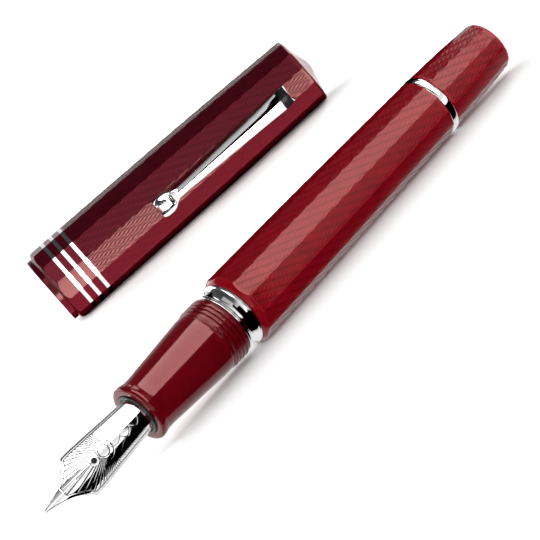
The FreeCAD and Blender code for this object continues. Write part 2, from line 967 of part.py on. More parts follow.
# ---------------------------------------------------------------- clip
# Ridge-backed spring arm: each station is (position, half width, underside,
# shoulder, ridge), heights measured from the cap's axis.
CLIP = [
    (57.00, 1.72, 7.02, 7.30, 7.42),
    (56.65, 1.90, 7.03, 7.62, 7.85),
    (55.90, 1.95, 7.18, 7.98, 8.32),
    (54.40, 1.86, 7.48, 8.26, 8.68),
    (51.00, 1.68, 7.82, 8.46, 8.92),
    (45.00, 1.45, 8.06, 8.62, 9.06),
    (39.00, 1.24, 8.30, 8.80, 9.20),
    (34.00, 1.05, 8.52, 8.98, 9.34),
    (30.80, 0.94, 8.70, 9.12, 9.44),
    (29.30, 0.96, 8.78, 9.22, 9.56),
    (28.40, 1.00, 8.82, 9.28, 9.64),
]
# The arm's rounded end, cut flat in front: each station is (position, half
# width, half height, height of the middle).
CLIP_END = [
    (29.90, 0.80, 0.22, 9.14),
    (29.20, 0.98, 0.50, 9.20),
    (28.60, 1.28, 0.90, 9.29),
    (28.05, 1.64, 1.34, 9.37),
    (27.40, 1.94, 1.72, 9.42),
    (26.60, 2.09, 1.93, 9.43),
    (25.80, 2.08, 1.95, 9.43),
    (25.15, 1.96, 1.82, 9.43),
    (24.70, 1.74, 1.60, 9.43),
]


def clip_wire(x, half, low, mid, top):
    pts = [
        V(x, -half * 0.86, low),
        V(x, half * 0.86, low),
        V(x, half, mid),
        V(x, half * 0.16, top),
        V(x, -half * 0.16, top),
        V(x, -half, mid),
    ]
    return Part.makePolygon(pts + [pts[0]])


arm = doc.addObject("Part::Feature", "clip_arm")
arm.Shape = Part.makeLoft([clip_wire(*row) for row in CLIP], True, True)
end_rings = []
for at, half, rise, middle in CLIP_END:
    turn = FreeCAD.Rotation(V(0, 1, 0), 90)
    if half < rise:
        oval = Part.Ellipse(V(0, 0, 0), rise, half)
    else:
        turn = turn.multiply(FreeCAD.Rotation(V(0, 0, 1), 90))
        oval = Part.Ellipse(V(0, 0, 0), half, rise)
    edge = oval.toShape()
    edge.Placement = FreeCAD.Placement(V(at, 0, middle), turn)
    end_rings.append(Part.Wire([edge]))
knob_end = doc.addObject("Part::Feature", "clip_end")
knob_end.Shape = Part.makeLoft(end_rings, True, False)
foot = doc.addObject("Part::Box", "clip_foot")
foot.Length = 0.9
foot.Width = 3.1
foot.Height = 2.0
foot.Placement = FreeCAD.Placement(V(55.8, -1.55, 5.75), FreeCAD.Rotation())
arm_end = doc.addObject("Part::Fuse", "clip_arm_end")
arm_end.Base = arm
arm_end.Tool = knob_end
blank = doc.addObject("Part::Fuse", "clip_blank")
blank.Base = arm_end
blank.Tool = foot
fork = doc.addObject("Part::Box", "wheel_fork")
bind(fork, "Length", "fork_end - 23.6")
bind(fork, "Width", "fork_width")
fork.Height = 5.0
fork.Placement = FreeCAD.Placement(
    V(23.6, -S["fork_width"] / 2, 6.9), FreeCAD.Rotation()
)
pin_hole = doc.addObject("Part::Cylinder", "pin_hole")
pin_hole.Radius = 0.36
pin_hole.setExpression("Radius", "Sizes.pin_r + 0.01")
pin_hole.Height = 6.0
pin_hole.Placement = FreeCAD.Placement(
    V(S["wheel_at"], 3.0, S["wheel_height"]),
    FreeCAD.Rotation(V(1, 0, 0), 90),
)
clip_cuts = doc.addObject("Part::Fuse", "clip_cuts")
clip_cuts.Base = fork
clip_cuts.Tool = pin_hole
clip = doc.addObject("Part::Cut", "clip")
clip.Label = "clip"
clip.Base = blank
clip.Tool = clip_cuts

pin = doc.addObject("Part::Cylinder", "roller_pin")
pin.Label = "roller_pin"
bind(pin, "Radius", "pin_r")
bind(pin, "Height", "pin_len")

wheel_disc = doc.addObject("Part::Cylinder", "wheel_disc")
bind(wheel_disc, "Radius", "wheel_r")
bind(wheel_disc, "Height", "wheel_width")
wheel_round = doc.addObject("Part::Fillet", "wheel_round")
wheel_round.Base = wheel_disc
doc.recompute()
wheel_round.Edges = [
    (i + 1, 0.18, 0.18)
    for i, e in enumerate(wheel_disc.Shape.Edges)
    if isinstance(e.Curve, Part.Circle)
]
wheel_bore = doc.addObject("Part::Cylinder", "wheel_bore")
wheel_bore.Radius = 0.4
wheel_bore.setExpression("Radius", "Sizes.pin_r + 0.05")
wheel_bore.Height = 3.0
wheel_bore.Placement = FreeCAD.Placement(V(0, 0, -1), FreeCAD.Rotation())
wheel = doc.addObject("Part::Cut", "clip_roller")
wheel.Label = "clip_roller"
wheel.Base = wheel_round
wheel.Tool = wheel_bore
doc.recompute()

# ---------------------------------------------------------------- threads
# Cap thread on the section and inside the cap, and the filling screw.


def ridge(body, name, at, root, crest, half_root, half_crest, pitch, height):
    """A helical ridge of trapezium section about the axis."""
    sketch = new_sketch(body, name + "_section", "XZ_Plane")
    closed_outline(
        sketch,
        [
            (at - half_root, root),
            (at - half_crest, crest),
            (at + half_crest, crest),
            (at + half_root, root),
        ],
    )
    helix = body.newObject("PartDesign::AdditiveHelix", name)
    helix.Profile = sketch
    helix.ReferenceAxis = (sketch, ["H_Axis"])
    helix.Mode = 0
    helix.Pitch = pitch
    helix.Height = height
    return helix


helix_faults = []
for body, args in (
    (section, ("cap_thread", -7.15, 6.05, 6.42, 0.34, 0.14, 0.85, 3.2)),
    (cap, ("cap_inner_thread", 4.6, 6.62, 6.28, 0.34, 0.14, 0.85, 2.6)),
    (spindle, ("screw_thread", 34.0, 1.42, 1.92, 0.9, 0.55, 8.0, 19.5)),
):
    doc.recompute()
    before = body.Shape.Volume
    old_tip = body.Tip
    feature = ridge(body, *args)
    doc.recompute()
    good = (
        "Invalid" not in feature.State
        and "Error" not in feature.State
        and not body.Shape.isNull()
        and body.Shape.isValid()
        and body.Shape.Volume > before + 1e-3
        and len(body.Shape.Solids) == 1
    )
    if not good:
        helix_faults.append(args[0])
        sketch = feature.Profile[0] if isinstance(feature.Profile, tuple) else feature.Profile
        body.removeObject(feature)
        doc.removeObject(feature.Name)
        body.removeObject(sketch)
        doc.removeObject(sketch.Name)
        body.Tip = old_tip
        doc.recompute()
print("helix faults:", helix_faults)

# ---------------------------------------------------------------- laying down
pen_a0 = S["barrel_front_d"] / 2 * COS15
pen_a1 = S["barrel_mid_d"] / 2 * COS15
pen_tilt = math.atan((pen_a0 - pen_a1) / S["barrel_mid_at"])
cap_a2 = S["cap_two_d"] / 2 * COS15
cap_a3 = S["cap_three_d"] / 2 * COS15
cap_tilt = math.atan((cap_a2 - cap_a3) / (S["cap_three_at"] - S["cap_two_at"]))
cap_a0 = cap_a2 + S["cap_two_at"] * math.tan(cap_tilt)
rest_u = 0.5 * S["barrel_mid_at"]


def rot(axis, degrees):
    return FreeCAD.Rotation(axis, degrees)


X, Y, Z = V(1, 0, 0), V(0, 1, 0), V(0, 0, 1)
pen_turn = rot(Y, math.degrees(pen_tilt))
# origin: middle of the barrel's resting facet
foot_point = V(rest_u, 0, S["rest_trim"] - 0.5 * (pen_a0 + pen_a1))
pen_place = FreeCAD.Placement(-pen_turn.multVec(foot_point), pen_turn)
nib_place = pen_place.multiply(FreeCAD.Placement(V(0, 0, 0), rot(X, S["nib_roll"])))
cap_turn = rot(Z, S["cap_yaw"]).multiply(
    rot(Y, math.degrees(cap_tilt)).multiply(rot(X, S["cap_roll"]))
)
cap_place = FreeCAD.Placement(
    V(S["cap_mouth_x"], S["cap_mouth_y"], cap_a0 * math.cos(cap_tilt)), cap_turn
)
for item in (
    barrel, band, section, tail_ring, guide, guide_seal, spindle_clip,
    spindle, knob, rod, head, seals,
):
    item.Placement = pen_place
for item in (collar, feed, nib, tipping):
    item.Placement = nib_place
for item in [cap, crown, liner, screw, clip] + rings:
    item.Placement = cap_place
pin.Placement = cap_place.multiply(
    FreeCAD.Placement(
        V(S["wheel_at"], S["pin_len"] / 2, S["wheel_height"]), rot(X, 90)
    )
)
wheel.Placement = cap_place.multiply(
    FreeCAD.Placement(
        V(S["wheel_at"], S["wheel_width"] / 2, S["wheel_height"]), rot(X, 90)
    )
)
doc.recompute()

# ---------------------------------------------------------------- export
for obj in doc.Objects:
    for bad in ("Invalid", "Error"):
        if bad in obj.State:
            raise RuntimeError("%s is %s" % (obj.Name, bad))
nodes = [
    barrel, band, section, collar, feed, nib, tipping, tail_ring, guide,
    guide_seal, spindle, spindle_clip, knob, rod, head, seals, cap,
    rings[0], rings[1], rings[2], crown, liner, screw, clip, pin, wheel,
]
for node in nodes:
    shape = node.Shape
    if shape.isNull() or not shape.isValid():
        raise RuntimeError("bad shape " + node.Label)
    if not shape.Solids:
        raise RuntimeError("no solid in " + node.Label)
for name in os.listdir("parts"):
    if name.endswith(".step"):
        os.remove(os.path.join("parts", name))
for node in nodes:
    node.Shape.exportStep(os.path.join("parts", node.Label + ".step"))
    box = node.Shape.optimalBoundingBox()
    print(
        "%-15s solids %d  vol %9.3f  x %7.2f %7.2f  y %7.2f %7.2f  z %6.2f %6.2f"
        % (
            node.Label, len(node.Shape.Solids), node.Shape.Volume,
            box.XMin, box.XMax, box.YMin, box.YMax, box.ZMin, box.ZMax,
        )
    )
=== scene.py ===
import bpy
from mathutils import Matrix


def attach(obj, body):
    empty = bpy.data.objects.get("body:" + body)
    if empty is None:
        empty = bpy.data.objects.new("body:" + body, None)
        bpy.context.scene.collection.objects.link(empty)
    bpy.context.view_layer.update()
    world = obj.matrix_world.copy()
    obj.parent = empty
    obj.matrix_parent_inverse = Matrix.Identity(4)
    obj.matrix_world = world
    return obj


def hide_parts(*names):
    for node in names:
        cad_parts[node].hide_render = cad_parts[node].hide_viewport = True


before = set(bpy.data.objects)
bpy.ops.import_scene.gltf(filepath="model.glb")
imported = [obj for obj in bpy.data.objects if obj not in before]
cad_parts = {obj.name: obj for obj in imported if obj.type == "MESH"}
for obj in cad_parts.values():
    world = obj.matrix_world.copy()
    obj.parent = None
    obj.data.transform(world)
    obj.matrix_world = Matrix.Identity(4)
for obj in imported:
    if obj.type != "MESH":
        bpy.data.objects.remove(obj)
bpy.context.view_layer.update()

import math

import bpy
import numpy as np
from mathutils import Matrix, Vector

C15 = math.cos(math.radians(15))
TAU = 2 * math.pi

# ------------------------------------------------------------ sizes, in mm
BARREL = [(0.0, 14.45), (23.0, 13.66), (53.6, 11.95)]
KNOB = [(55.2, 11.78), (59.4, 11.44), (64.5, 10.85), (71.6, 9.65)]
CAP = [(1.05, 15.38), (16.0, 15.30), (40.0, 14.80), (61.9, 13.80)]
TRIM = 0.01
NIB_TIP, NIB_SHEET, SLIT, HOLE_R, HOLE_AT = -51.6, 0.34, 0.12, 0.55, 12.4
NIB = np.array([
    (0.00, 0.24, 3.0, 2.72), (1.00, 0.45, 3.2, 2.80), (2.80, 0.90, 3.6, 2.95),
    (4.40, 1.44, 4.0, 3.08), (5.70, 2.00, 4.3, 3.19), (7.20, 2.92, 4.7, 3.30),
    (8.60, 3.82, 5.0, 3.38), (9.55, 4.52, 5.15, 3.43), (10.55, 4.53, 5.10, 3.46),
    (13.60, 4.38, 4.85, 3.52), (18.20, 4.06, 4.35, 3.58), (22.60, 3.76, 3.90, 3.61),
    (25.40, 3.60, 3.63, 3.62), (36.40, 3.58, 3.63, 3.62)])
CLIP = np.array([
    (57.00, 1.72, 7.02, 7.30, 7.42), (56.65, 1.90, 7.03, 7.62, 7.85),
    (55.90, 1.95, 7.18, 7.98, 8.32), (54.40, 1.86, 7.48, 8.26, 8.68),
    (51.00, 1.68, 7.82, 8.46, 8.92), (45.00, 1.45, 8.06, 8.62, 9.06),
    (39.00, 1.24, 8.30, 8.80, 9.20), (34.00, 1.05, 8.52, 8.98, 9.34),
    (30.80, 0.94, 8.70, 9.12, 9.44), (29.30, 0.96, 8.78, 9.22, 9.56),
    (28.40, 1.00, 8.82, 9.28, 9.64)])
CLIP_END = np.array([
    (29.90, 0.80, 0.22, 9.14), (29.20, 0.98, 0.50, 9.20), (28.60, 1.28, 0.90, 9.29),
    (28.05, 1.64, 1.34, 9.37), (27.40, 1.94, 1.72, 9.42), (26.60, 2.09, 1.93, 9.43),
    (25.80, 2.08, 1.95, 9.43), (25.15, 1.96, 1.82, 9.43), (24.70, 1.74, 1.60, 9.43)])


# ------------------------------------------------------------ placements
def rx(t): return np.array([[1, 0, 0], [0, math.cos(t), -math.sin(t)], [0, math.sin(t), math.cos(t)]])
def ry(t): return np.array([[math.cos(t), 0, math.sin(t)], [0, 1, 0], [-math.sin(t), 0, math.cos(t)]])
def rz(t): return np.array([[math.cos(t), -math.sin(t), 0], [math.sin(t), math.cos(t), 0], [0, 0, 1]])


A0, A1 = BARREL[0][1] / 2 * C15, BARREL[1][1] / 2 * C15
R_PEN = ry(math.atan((A0 - A1) / 23.0))
T_PEN = -R_PEN @ np.array([11.5, 0, TRIM - (A0 + A1) / 2])
R_NIB = R_PEN @ rx(math.radians(75))
A2, A3 = CAP[1][1] / 2 * C15, CAP[2][1] / 2 * C15
CAP_TILT = math.atan((A2 - A3) / 24.0)
R_CAP = rz(math.radians(-23.54)) @ ry(CAP_TILT) @ rx(math.radians(90))
T_CAP = np.array([13.98, 110.03, (A2 + 16.0 * math.tan(CAP_TILT)) * math.cos(CAP_TILT)])
PLACE = {"pen": (R_PEN, T_PEN), "nib": (R_NIB, T_PEN), "cap": (R_CAP, T_CAP)}


def to_world(co, where):
    turn, shift = PLACE[where]
    return (np.asarray(co, float) @ turn.T + shift) * 0.001


# ------------------------------------------------------------ mesh code
def mesh_object(name, co, faces, where, sharp=50.0, cuts=None):
    """A mesh from local points in mm and a list of faces, laid in the row frame."""
    me = bpy.data.meshes.new(name)
    co = to_world(co, where)
    if where == "pen":
        co[:, 2] = np.maximum(co[:, 2], 0.0)
    sizes = np.array([len(f) for f in faces], np.int32) if isinstance(faces, list) else np.full(len(faces), faces.shape[1], np.int32)
    loops = np.concatenate([np.asarray(f, np.int32) for f in faces]) if isinstance(faces, list) else faces.astype(np.int32).ravel()
    me.vertices.add(len(co))
    me.vertices.foreach_set("co", co.astype(np.float32).ravel())
    me.loops.add(len(loops))
    me.loops.foreach_set("vertex_index", loops)
    me.polygons.add(len(sizes))
    me.polygons.foreach_set("loop_start", np.concatenate([[0], np.cumsum(sizes)[:-1]]).astype(np.int32))
    me.update(calc_edges=True)
    if cuts is not None:
        layer = me.attributes.new("cut", "FLOAT", "POINT")
        layer.data.foreach_set("value", np.asarray(cuts, np.float32))
    me.validate(clean_customdata=False)
    me.polygons.foreach_set("use_smooth", np.ones(len(me.polygons), bool))
    me.set_sharp_from_angle(angle=math.radians(sharp))
    o = bpy.data.objects.new(name, me)
    bpy.context.scene.collection.objects.link(o)
    return o


def ring_faces(rows, cols, wrap_rows, flip=False):
    """Quads of a grid closed across its columns, and along its rows if asked."""
    i = np.arange(rows if wrap_rows else rows - 1)[:, None]
    j = np.arange(cols)[None, :]
    a = i * cols + j
    b = i * cols + (j + 1) % cols
    c = ((i + 1) % rows) * cols + (j + 1) % cols
    d = ((i + 1) % rows) * cols + j
    q = np.stack([a, b, c, d], -1).reshape(-1, 4)
    return q[:, ::-1] if flip else q


def smooth_line(points, half, at):
    """The broken line through points, averaged over a sliding window."""
    xs, ys = np.array(points).T
    at = np.asarray(at, float)
    out = np.zeros_like(at)
    offsets = np.linspace(-1, 1, 41)
    weights = 1 - offsets ** 2
    s0 = (ys[1] - ys[0]) / (xs[1] - xs[0])
    s1 = (ys[-1] - ys[-2]) / (xs[-1] - xs[-2])
    for o, w in zip(offsets, weights):
        x = at + o * half
        y = np.interp(x, xs, ys)
        y = np.where(x < xs[0], ys[0] + s0 * (x - xs[0]), y)
        y = np.where(x > xs[-1], ys[-1] + s1 * (x - xs[-1]), y)
        out += w * y
    return out / weights.sum()


def pchip(xs, ys, at):
    """Smooth monotone curve through stations."""
    xs, ys, at = np.asarray(xs, float), np.asarray(ys, float), np.asarray(at, float)
    if xs[0] > xs[-1]:
        xs, ys = xs[::-1], ys[::-1]
    h = np.diff(xs)
    m = np.diff(ys) / h
    d = np.zeros_like(ys)
    same = (m[1:] * m[:-1]) > 0
    w1, w2 = 2 * h[1:] + h[:-1], h[1:] + 2 * h[:-1]
    with np.errstate(divide="ignore", invalid="ignore"):
        d[1:-1] = np.where(same, (w1 + w2) / (w1 / m[:-1] + w2 / m[1:]), 0)
    d[0], d[-1] = m[0], m[-1]
    k = np.clip(np.searchsorted(xs, at) - 1, 0, len(h) - 1)
    t = np.clip((at - xs[k]) / h[k], 0, 1)
    return ((2 * t ** 3 - 3 * t ** 2 + 1) * ys[k] + (t ** 3 - 2 * t ** 2 + t) * h[k] * d[k]
            + (-2 * t ** 3 + 3 * t ** 2) * ys[k + 1] + (t ** 3 - t ** 2) * h[k] * d[k + 1])


def lathe(name, profile, where, cols=144, sharp=35.0, radius=None):
    """Turns a closed profile (position, radius) about the axis."""
    p = np.array(profile, float)
    th = np.arange(cols) * TAU / cols
    r = np.repeat(p[:, 1][:, None], cols, 1)
    if radius is not None:
        r = radius(p[:, 0][:, None], th[None, :], r)
    x = np.repeat(p[:, 0][:, None], cols, 1)
    co = np.stack([x, r * np.cos(th), r * np.sin(th)], -1).reshape(-1, 3)
    area = np.sum(p[:, 0] * np.roll(p[:, 1], -1) - np.roll(p[:, 0], -1) * p[:, 1])
    return mesh_object(name, co, ring_faces(len(p), cols, True, area < 0), where, sharp)


def rounded(points, step=0.12, bend=0.0):
    """A profile with its long straight runs split, so that normals stay even."""
    out = []
    n = len(points)
    for i in range(n):
        a, b = np.array(points[i], float), np.array(points[(i + 1) % n], float)
        k = max(1, int(np.linalg.norm(b - a) / step))
        for j in range(k):
            out.append(tuple(a + (b - a) * j / k))
    return out


# ------------------------------------------------------------ engraving
def facet_columns(per):
    """Facet number, place across it from -1 to 1, and angle of each column."""
    inner = np.linspace(-0.972, 0.972, per)
    s = np.concatenate([[-1.0, -0.988], inner, [0.988]])
    k = np.repeat(np.arange(12), len(s))
    s = np.tile(s, 12)
    return k, s, k * TAU / 12 - math.pi / 2 + np.arctan(s * math.tan(math.radians(15)))


WAVE_LONG, LINE_PITCH, WAVE_STEP, WAVE_SWING = 3.3, 0.37, 0.78, 2.3


def engraving(u, across, strength=1.0):
    """Depth, 0 to 1, of the wavy lines cut along the facets. Each line's wave
    starts a little further on than its neighbour's, which makes diagonals."""
    turn = TAU * (u / WAVE_LONG - across * WAVE_STEP / (LINE_PITCH * WAVE_LONG))
    line = TAU * across / LINE_PITCH + WAVE_SWING * np.sin(turn)
    groove = (0.5 + 0.5 * np.cos(line)) ** 1.6
    beat = 0.5 + 0.5 * np.cos(turn + math.pi)
    dots = np.clip(0.35 + 0.9 * np.cos(2 * line), 0, 1)
    return strength * np.clip(0.62 * groove * (0.82 + 0.18 * beat) + 1.0 * dots * beat ** 18, 0, 1)


def scallops(u, k):
    """Lobes, 0 to 1, that the waves leave along one edge of each facet."""
    return np.abs(np.sin(math.pi * (u / WAVE_LONG + 0.37 * k))) ** 0.8


def faceted_shell(name, where, rows, width, inner, limit=None, cut_from=None, cut_to=None,
                  per=52, depth=0.05, mate=None):
    """A twelve-sided piece with engraved facets and a turned inside.
    rows: positions along the axis; width: across the corners at each;
    inner: rows (position, radius) of the inside, from the last row back."""
    k, s, th = facet_columns(per)
    local = th - (k * TAU / 12 - math.pi / 2)
    rows = np.asarray(rows, float)
    apothem = width / 2 * C15
    r = apothem[:, None] / np.cos(local)[None, :]
    corner = np.isclose(np.abs(s), 1.0)
    r[:, corner] *= 0.9975
    half = apothem * math.tan(math.radians(15))
    across = s[None, :] * half[:, None] + (k * 2)[None, :] * half.mean() * 1.0
    cuts = np.zeros_like(r)
    if cut_from is not None:
        fade = np.clip((rows - cut_from) / 0.25, 0, 1) * np.clip((cut_to - rows) / 0.25, 0, 1)
        edge = np.clip((1 - np.abs(s)) / 0.03, 0, 1)
        cuts = engraving(rows[:, None], across) * fade[:, None] * edge[None, :]
        r = r - depth * cuts
        lean = math.tan(math.radians(15))
        own = 0.075 * np.clip((s - 0.62) / 0.38, 0, 1)[None, :] ** 2 * scallops(rows[:, None], k[None, :])
        r = r - own * fade[:, None]
        # the lobes of the facet before run a little way over this one
        near = np.clip(np.tan(local + TAU / 12) / lean, -9, 9)
        lobe = apothem[:, None] / np.cos(local + TAU / 12)[None, :] - 0.075 * scallops(rows[:, None], (k - 1)[None, :]) * fade[:, None]
        r = np.where((near > 0.9)[None, :] & (s < 0)[None, :] & (fade > 0)[:, None], np.minimum(r, lobe), r)
    if mate is not None:
        r = mate(rows, k, s, r)
    if limit is not None:
        r = np.minimum(r, limit(rows)[:, None])
    x = np.repeat(rows[:, None], len(th), 1)
    inner = np.array(inner, float)
    ri = np.repeat(inner[:, 1][:, None], len(th), 1)
    xi = np.repeat(inner[:, 0][:, None], len(th), 1)
    x, r = np.vstack([x, xi]), np.vstack([r, ri])
    co = np.stack([x, r * np.cos(th), r * np.sin(th)], -1).reshape(-1, 3)
    all_cuts = np.concatenate([cuts.ravel(), np.zeros(ri.size)])
    return mesh_object(name, co, ring_faces(len(x), len(th), True), where, 50.0, all_cuts)


def spaced(*parts):
    """Positions from runs (start, end, step), without repeats."""
    out = []
    for a, b, step in parts:
        n = max(1, int(round(abs(b - a) / step)))
        out += [a + (b - a) * i / n for i in range(n + 1)]
    keep = [out[0]]
    for v in out[1:]:
        if abs(v - keep[-1]) > 1e-6:
            keep.append(v)
    return np.array(keep)


STEP = 0.15
PER = 52


def piece(o, body, slot, *nodes):
    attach(o, body)
    if nodes:
        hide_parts(*nodes)
    return o


# ------------------------------------------------------------ materials
def new_material(name):
    m = bpy.data.materials.new(name)
    m.use_nodes = True
    nt = m.node_tree
    nt.nodes.clear()
    out = nt.nodes.new("ShaderNodeOutputMaterial")
    sh = nt.nodes.new("ShaderNodeBsdfPrincipled")
    nt.links.new(sh.outputs[0], out.inputs[0])
    return m, nt, sh


def texture(nt, kind, **inputs):
    n = nt.nodes.new(kind)
    for key, value in inputs.items():
        n.inputs[key.replace("_", " ")].default_value = value
    return n


def coords(nt, scale):
    tc = nt.nodes.new("ShaderNodeTexCoord")
    mp = nt.nodes.new("ShaderNodeMapping")
    mp.inputs["Scale"].default_value = scale if hasattr(scale, "__len__") else (scale,) * 3
    nt.links.new(tc.outputs["Object"], mp.inputs[0])
    return mp.outputs[0]


def ramp(nt, source, stops):
    n = nt.nodes.new("ShaderNodeValToRGB")
    el = n.color_ramp.elements
    while len(el) < len(stops):
        el.new(0.5)
    for e, (at, colour) in zip(el, stops):
        e.position = at
        e.color = (*colour, 1) if hasattr(colour, "__len__") else (colour, colour, colour, 1)
    nt.links.new(source, n.inputs[0])
    return n.outputs[0]


def resin(name, base, groove_shade, rough=0.12, engraved=False):
    """Polished dark red resin with faint clouding, hair-fine polish marks and a darker colour in the engraved lines, a
    painted shade in the grooves."""
    m, nt, sh = new_material(name)
    cloud = texture(nt, "ShaderNodeTexNoise", Scale=1.0, Detail=4.0, Roughness=0.6)
    nt.links.new(coords(nt, 260.0), cloud.inputs["Vector"])
    tint = ramp(nt, cloud.outputs["Fac"], [(0.3, tuple(0.82 * c for c in base)), (0.7, tuple(min(1, 1.14 * c) for c in base))])
    colour = tint
    if engraved:
        at = nt.nodes.new("ShaderNodeAttribute")
        at.attribute_name = "cut"
        mix = nt.nodes.new("ShaderNodeMix")
        mix.data_type = "RGBA"
        nt.links.new(at.outputs["Fac"], mix.inputs["Factor"])
        nt.links.new(tint, mix.inputs["A"])
        mix.inputs["B"].default_value = (*groove_shade, 1)
        colour = mix.outputs["Result"]
    nt.links.new(colour, sh.inputs["Base Color"])
    marks = texture(nt, "ShaderNodeTexNoise", Scale=1.0, Detail=3.0)
    nt.links.new(coords(nt, (900.0, 2600.0, 2600.0)), marks.inputs["Vector"])
    nt.links.new(ramp(nt, marks.outputs["Fac"], [(0.3, 0.75 * rough), (0.75, 1.3 * rough)]), sh.inputs["Roughness"])
    bump = nt.nodes.new("ShaderNodeBump")
    bump.inputs["Strength"].default_value = 0.06
    bump.inputs["Distance"].default_value = 0.00004
    nt.links.new(marks.outputs["Fac"], bump.inputs["Height"])
    nt.links.new(bump.outputs[0], sh.inputs["Normal"])
    sh.inputs["IOR"].default_value = 1.52
    sh.inputs["Specular Tint"].default_value = (1.0, 0.44, 0.42, 1.0)
    return m


def metal(name, colour, rough, stretch=(500.0, 500.0, 500.0), dark=None):
    """Bright metal: slight tone changes and fine polish lines, with the engraved lines darkened where the mesh has
    them, a painted shade in the grooves."""
    m, nt, sh = new_material(name)
    tone = texture(nt, "ShaderNodeTexNoise", Scale=1.0, Detail=5.0, Roughness=0.65)
    nt.links.new(coords(nt, stretch), tone.inputs["Vector"])
    tint = ramp(nt, tone.outputs["Fac"], [(0.3, tuple(0.93 * c for c in colour)), (0.7, tuple(min(1, 1.04 * c) for c in colour))])
    if dark is not None:
        at = nt.nodes.new("ShaderNodeAttribute")
        at.attribute_name = "cut"
        mix = nt.nodes.new("ShaderNodeMix")
        mix.data_type = "RGBA"
        nt.links.new(at.outputs["Fac"], mix.inputs["Factor"])
        nt.links.new(tint, mix.inputs["A"])
        mix.inputs["B"].default_value = (*dark, 1)
        tint = mix.outputs["Result"]
    nt.links.new(tint, sh.inputs["Base Color"])
    sh.inputs["Metallic"].default_value = 1.0
    nt.links.new(ramp(nt, tone.outputs["Fac"], [(0.25, 0.7 * rough), (0.75, 1.4 * rough)]), sh.inputs["Roughness"])
    bump = nt.nodes.new("ShaderNodeBump")
    bump.inputs["Strength"].default_value = 0.05
    bump.inputs["Distance"].default_value = 0.00003
    nt.links.new(tone.outputs["Fac"], bump.inputs["Height"])
    nt.links.new(bump.outputs[0], sh.inputs["Normal"])
    return m


def moulded(name, low, high, rough, scale=700.0):
    """Moulded plastic or rubber: mottled tone and a fine grain."""
    m, nt, sh = new_material(name)
    grain = texture(nt, "ShaderNodeTexNoise", Scale=1.0, Detail=6.0, Roughness=0.7)
    nt.links.new(coords(nt, scale), grain.inputs["Vector"])
    nt.links.new(ramp(nt, grain.outputs["Fac"], [(0.3, low), (0.7, high)]), sh.inputs["Base Color"])
    nt.links.new(ramp(nt, grain.outputs["Fac"], [(0.3, 0.85 * rough), (0.7, min(1.0, 1.15 * rough))]), sh.inputs["Roughness"])
    bump = nt.nodes.new("ShaderNodeBump")
    bump.inputs["Strength"].default_value = 0.15
    bump.inputs["Distance"].default_value = 0.00005
    nt.links.new(grain.outputs["Fac"], bump.inputs["Height"])
    nt.links.new(bump.outputs[0], sh.inputs["Normal"])
    return m


RED = (0.225, 0.0010, 0.0070)
# painted shade: the near-black colour mixed into the engraved grooves by their cut depth
GROOVE_PAINTED_SHADE = (0.022, 0.0003, 0.0008)
M_CUT = resin("engraved_resin", RED, GROOVE_PAINTED_SHADE, rough=0.16, engraved=True)
# painted shade: the cap's resin and the plain resin of the section and crown are darker copies of the barrel's red, set
# to how dark these parts look under the light
M_CAP_SHADED_COPY = resin("engraved_cap_resin_shaded_copy", (0.042, 0.0008, 0.0045), GROOVE_PAINTED_SHADE, rough=0.14, engraved=True)
M_PLAIN_SHADED_COPY = resin("plain_resin_shaded_copy", (0.092, 0.0006, 0.0036), GROOVE_PAINTED_SHADE, rough=0.10)
M_TRIM = metal("bright_trim", (0.86, 0.86, 0.87), 0.05)
# painted shade: the nib's engraved lines and rim are darkened with this near-black colour
M_NIB = metal("nib_metal", (0.88, 0.88, 0.89), 0.07, (900.0, 400.0, 400.0), dark=(0.055, 0.055, 0.06))
M_TIP = metal("tipping_metal", (0.62, 0.63, 0.65), 0.18)
M_STEEL = metal("small_steel", (0.56, 0.57, 0.59), 0.22, (300.0, 1500.0, 1500.0))
# painted shade: a dark copy of the trim, put on the fork's inner walls around the wheel
M_RECESS_PAINTED_SHADE = metal("trim_recess_painted_shade", (0.10, 0.10, 0.11), 0.30, (900.0, 900.0, 900.0))
# painted reflection: a near-black copy of the trim for the clip's sloping root, standing in for the dark surroundings
# it mirrors
M_ROOT_PAINTED_REFLECTION = metal("trim_root_painted_reflection", (0.012, 0.012, 0.013), 0.22, (900.0, 900.0, 900.0))
M_BRASS = metal("turned_brass", (0.72, 0.52, 0.24), 0.20, (2500.0, 300.0, 300.0))
M_BLACK = moulded("black_plastic", (0.010, 0.010, 0.011), (0.022, 0.022, 0.024), 0.34)
M_LINER = moulded("liner_plastic", (0.030, 0.030, 0.033), (0.055, 0.055, 0.060), 0.45)
M_RUBBER = moulded("seal_rubber", (0.014, 0.014, 0.014), (0.030, 0.030, 0.030), 0.60)


def paint(o, *materials):
    o.data.materials.clear()
    for m in materials:
        o.data.materials.append(m)


# ------------------------------------------------------------ barrel
rows = spaced((0.0, 0.1, 0.05), (0.1, 1.3, 0.1), (1.3, 53.3, STEP), (53.3, 53.6, 0.1))
barrel = faceted_shell(
    "pen_barrel", "pen", rows, smooth_line(BARREL, 14.0, rows),
    [(53.6, 4.60), (38.0, 4.60), (38.0, 4.20), (8.2, 4.20), (8.2, 4.95), (0.0, 4.95)],
    limit=lambda x: np.where(x < 1.15, 6.48 + (7.225 - 6.48) * np.clip(x / 1.1, 0, 1) ** 0.85, 99.0),
    cut_from=1.2, cut_to=53.3, per=PER)
paint(barrel, M_CUT)
piece(barrel, "pen", "red_resin", "barrel")

# ------------------------------------------------------------ knob
rows = spaced((55.2, 55.4, 0.05), (55.4, 70.0, STEP), (70.0, 71.6, 0.06))


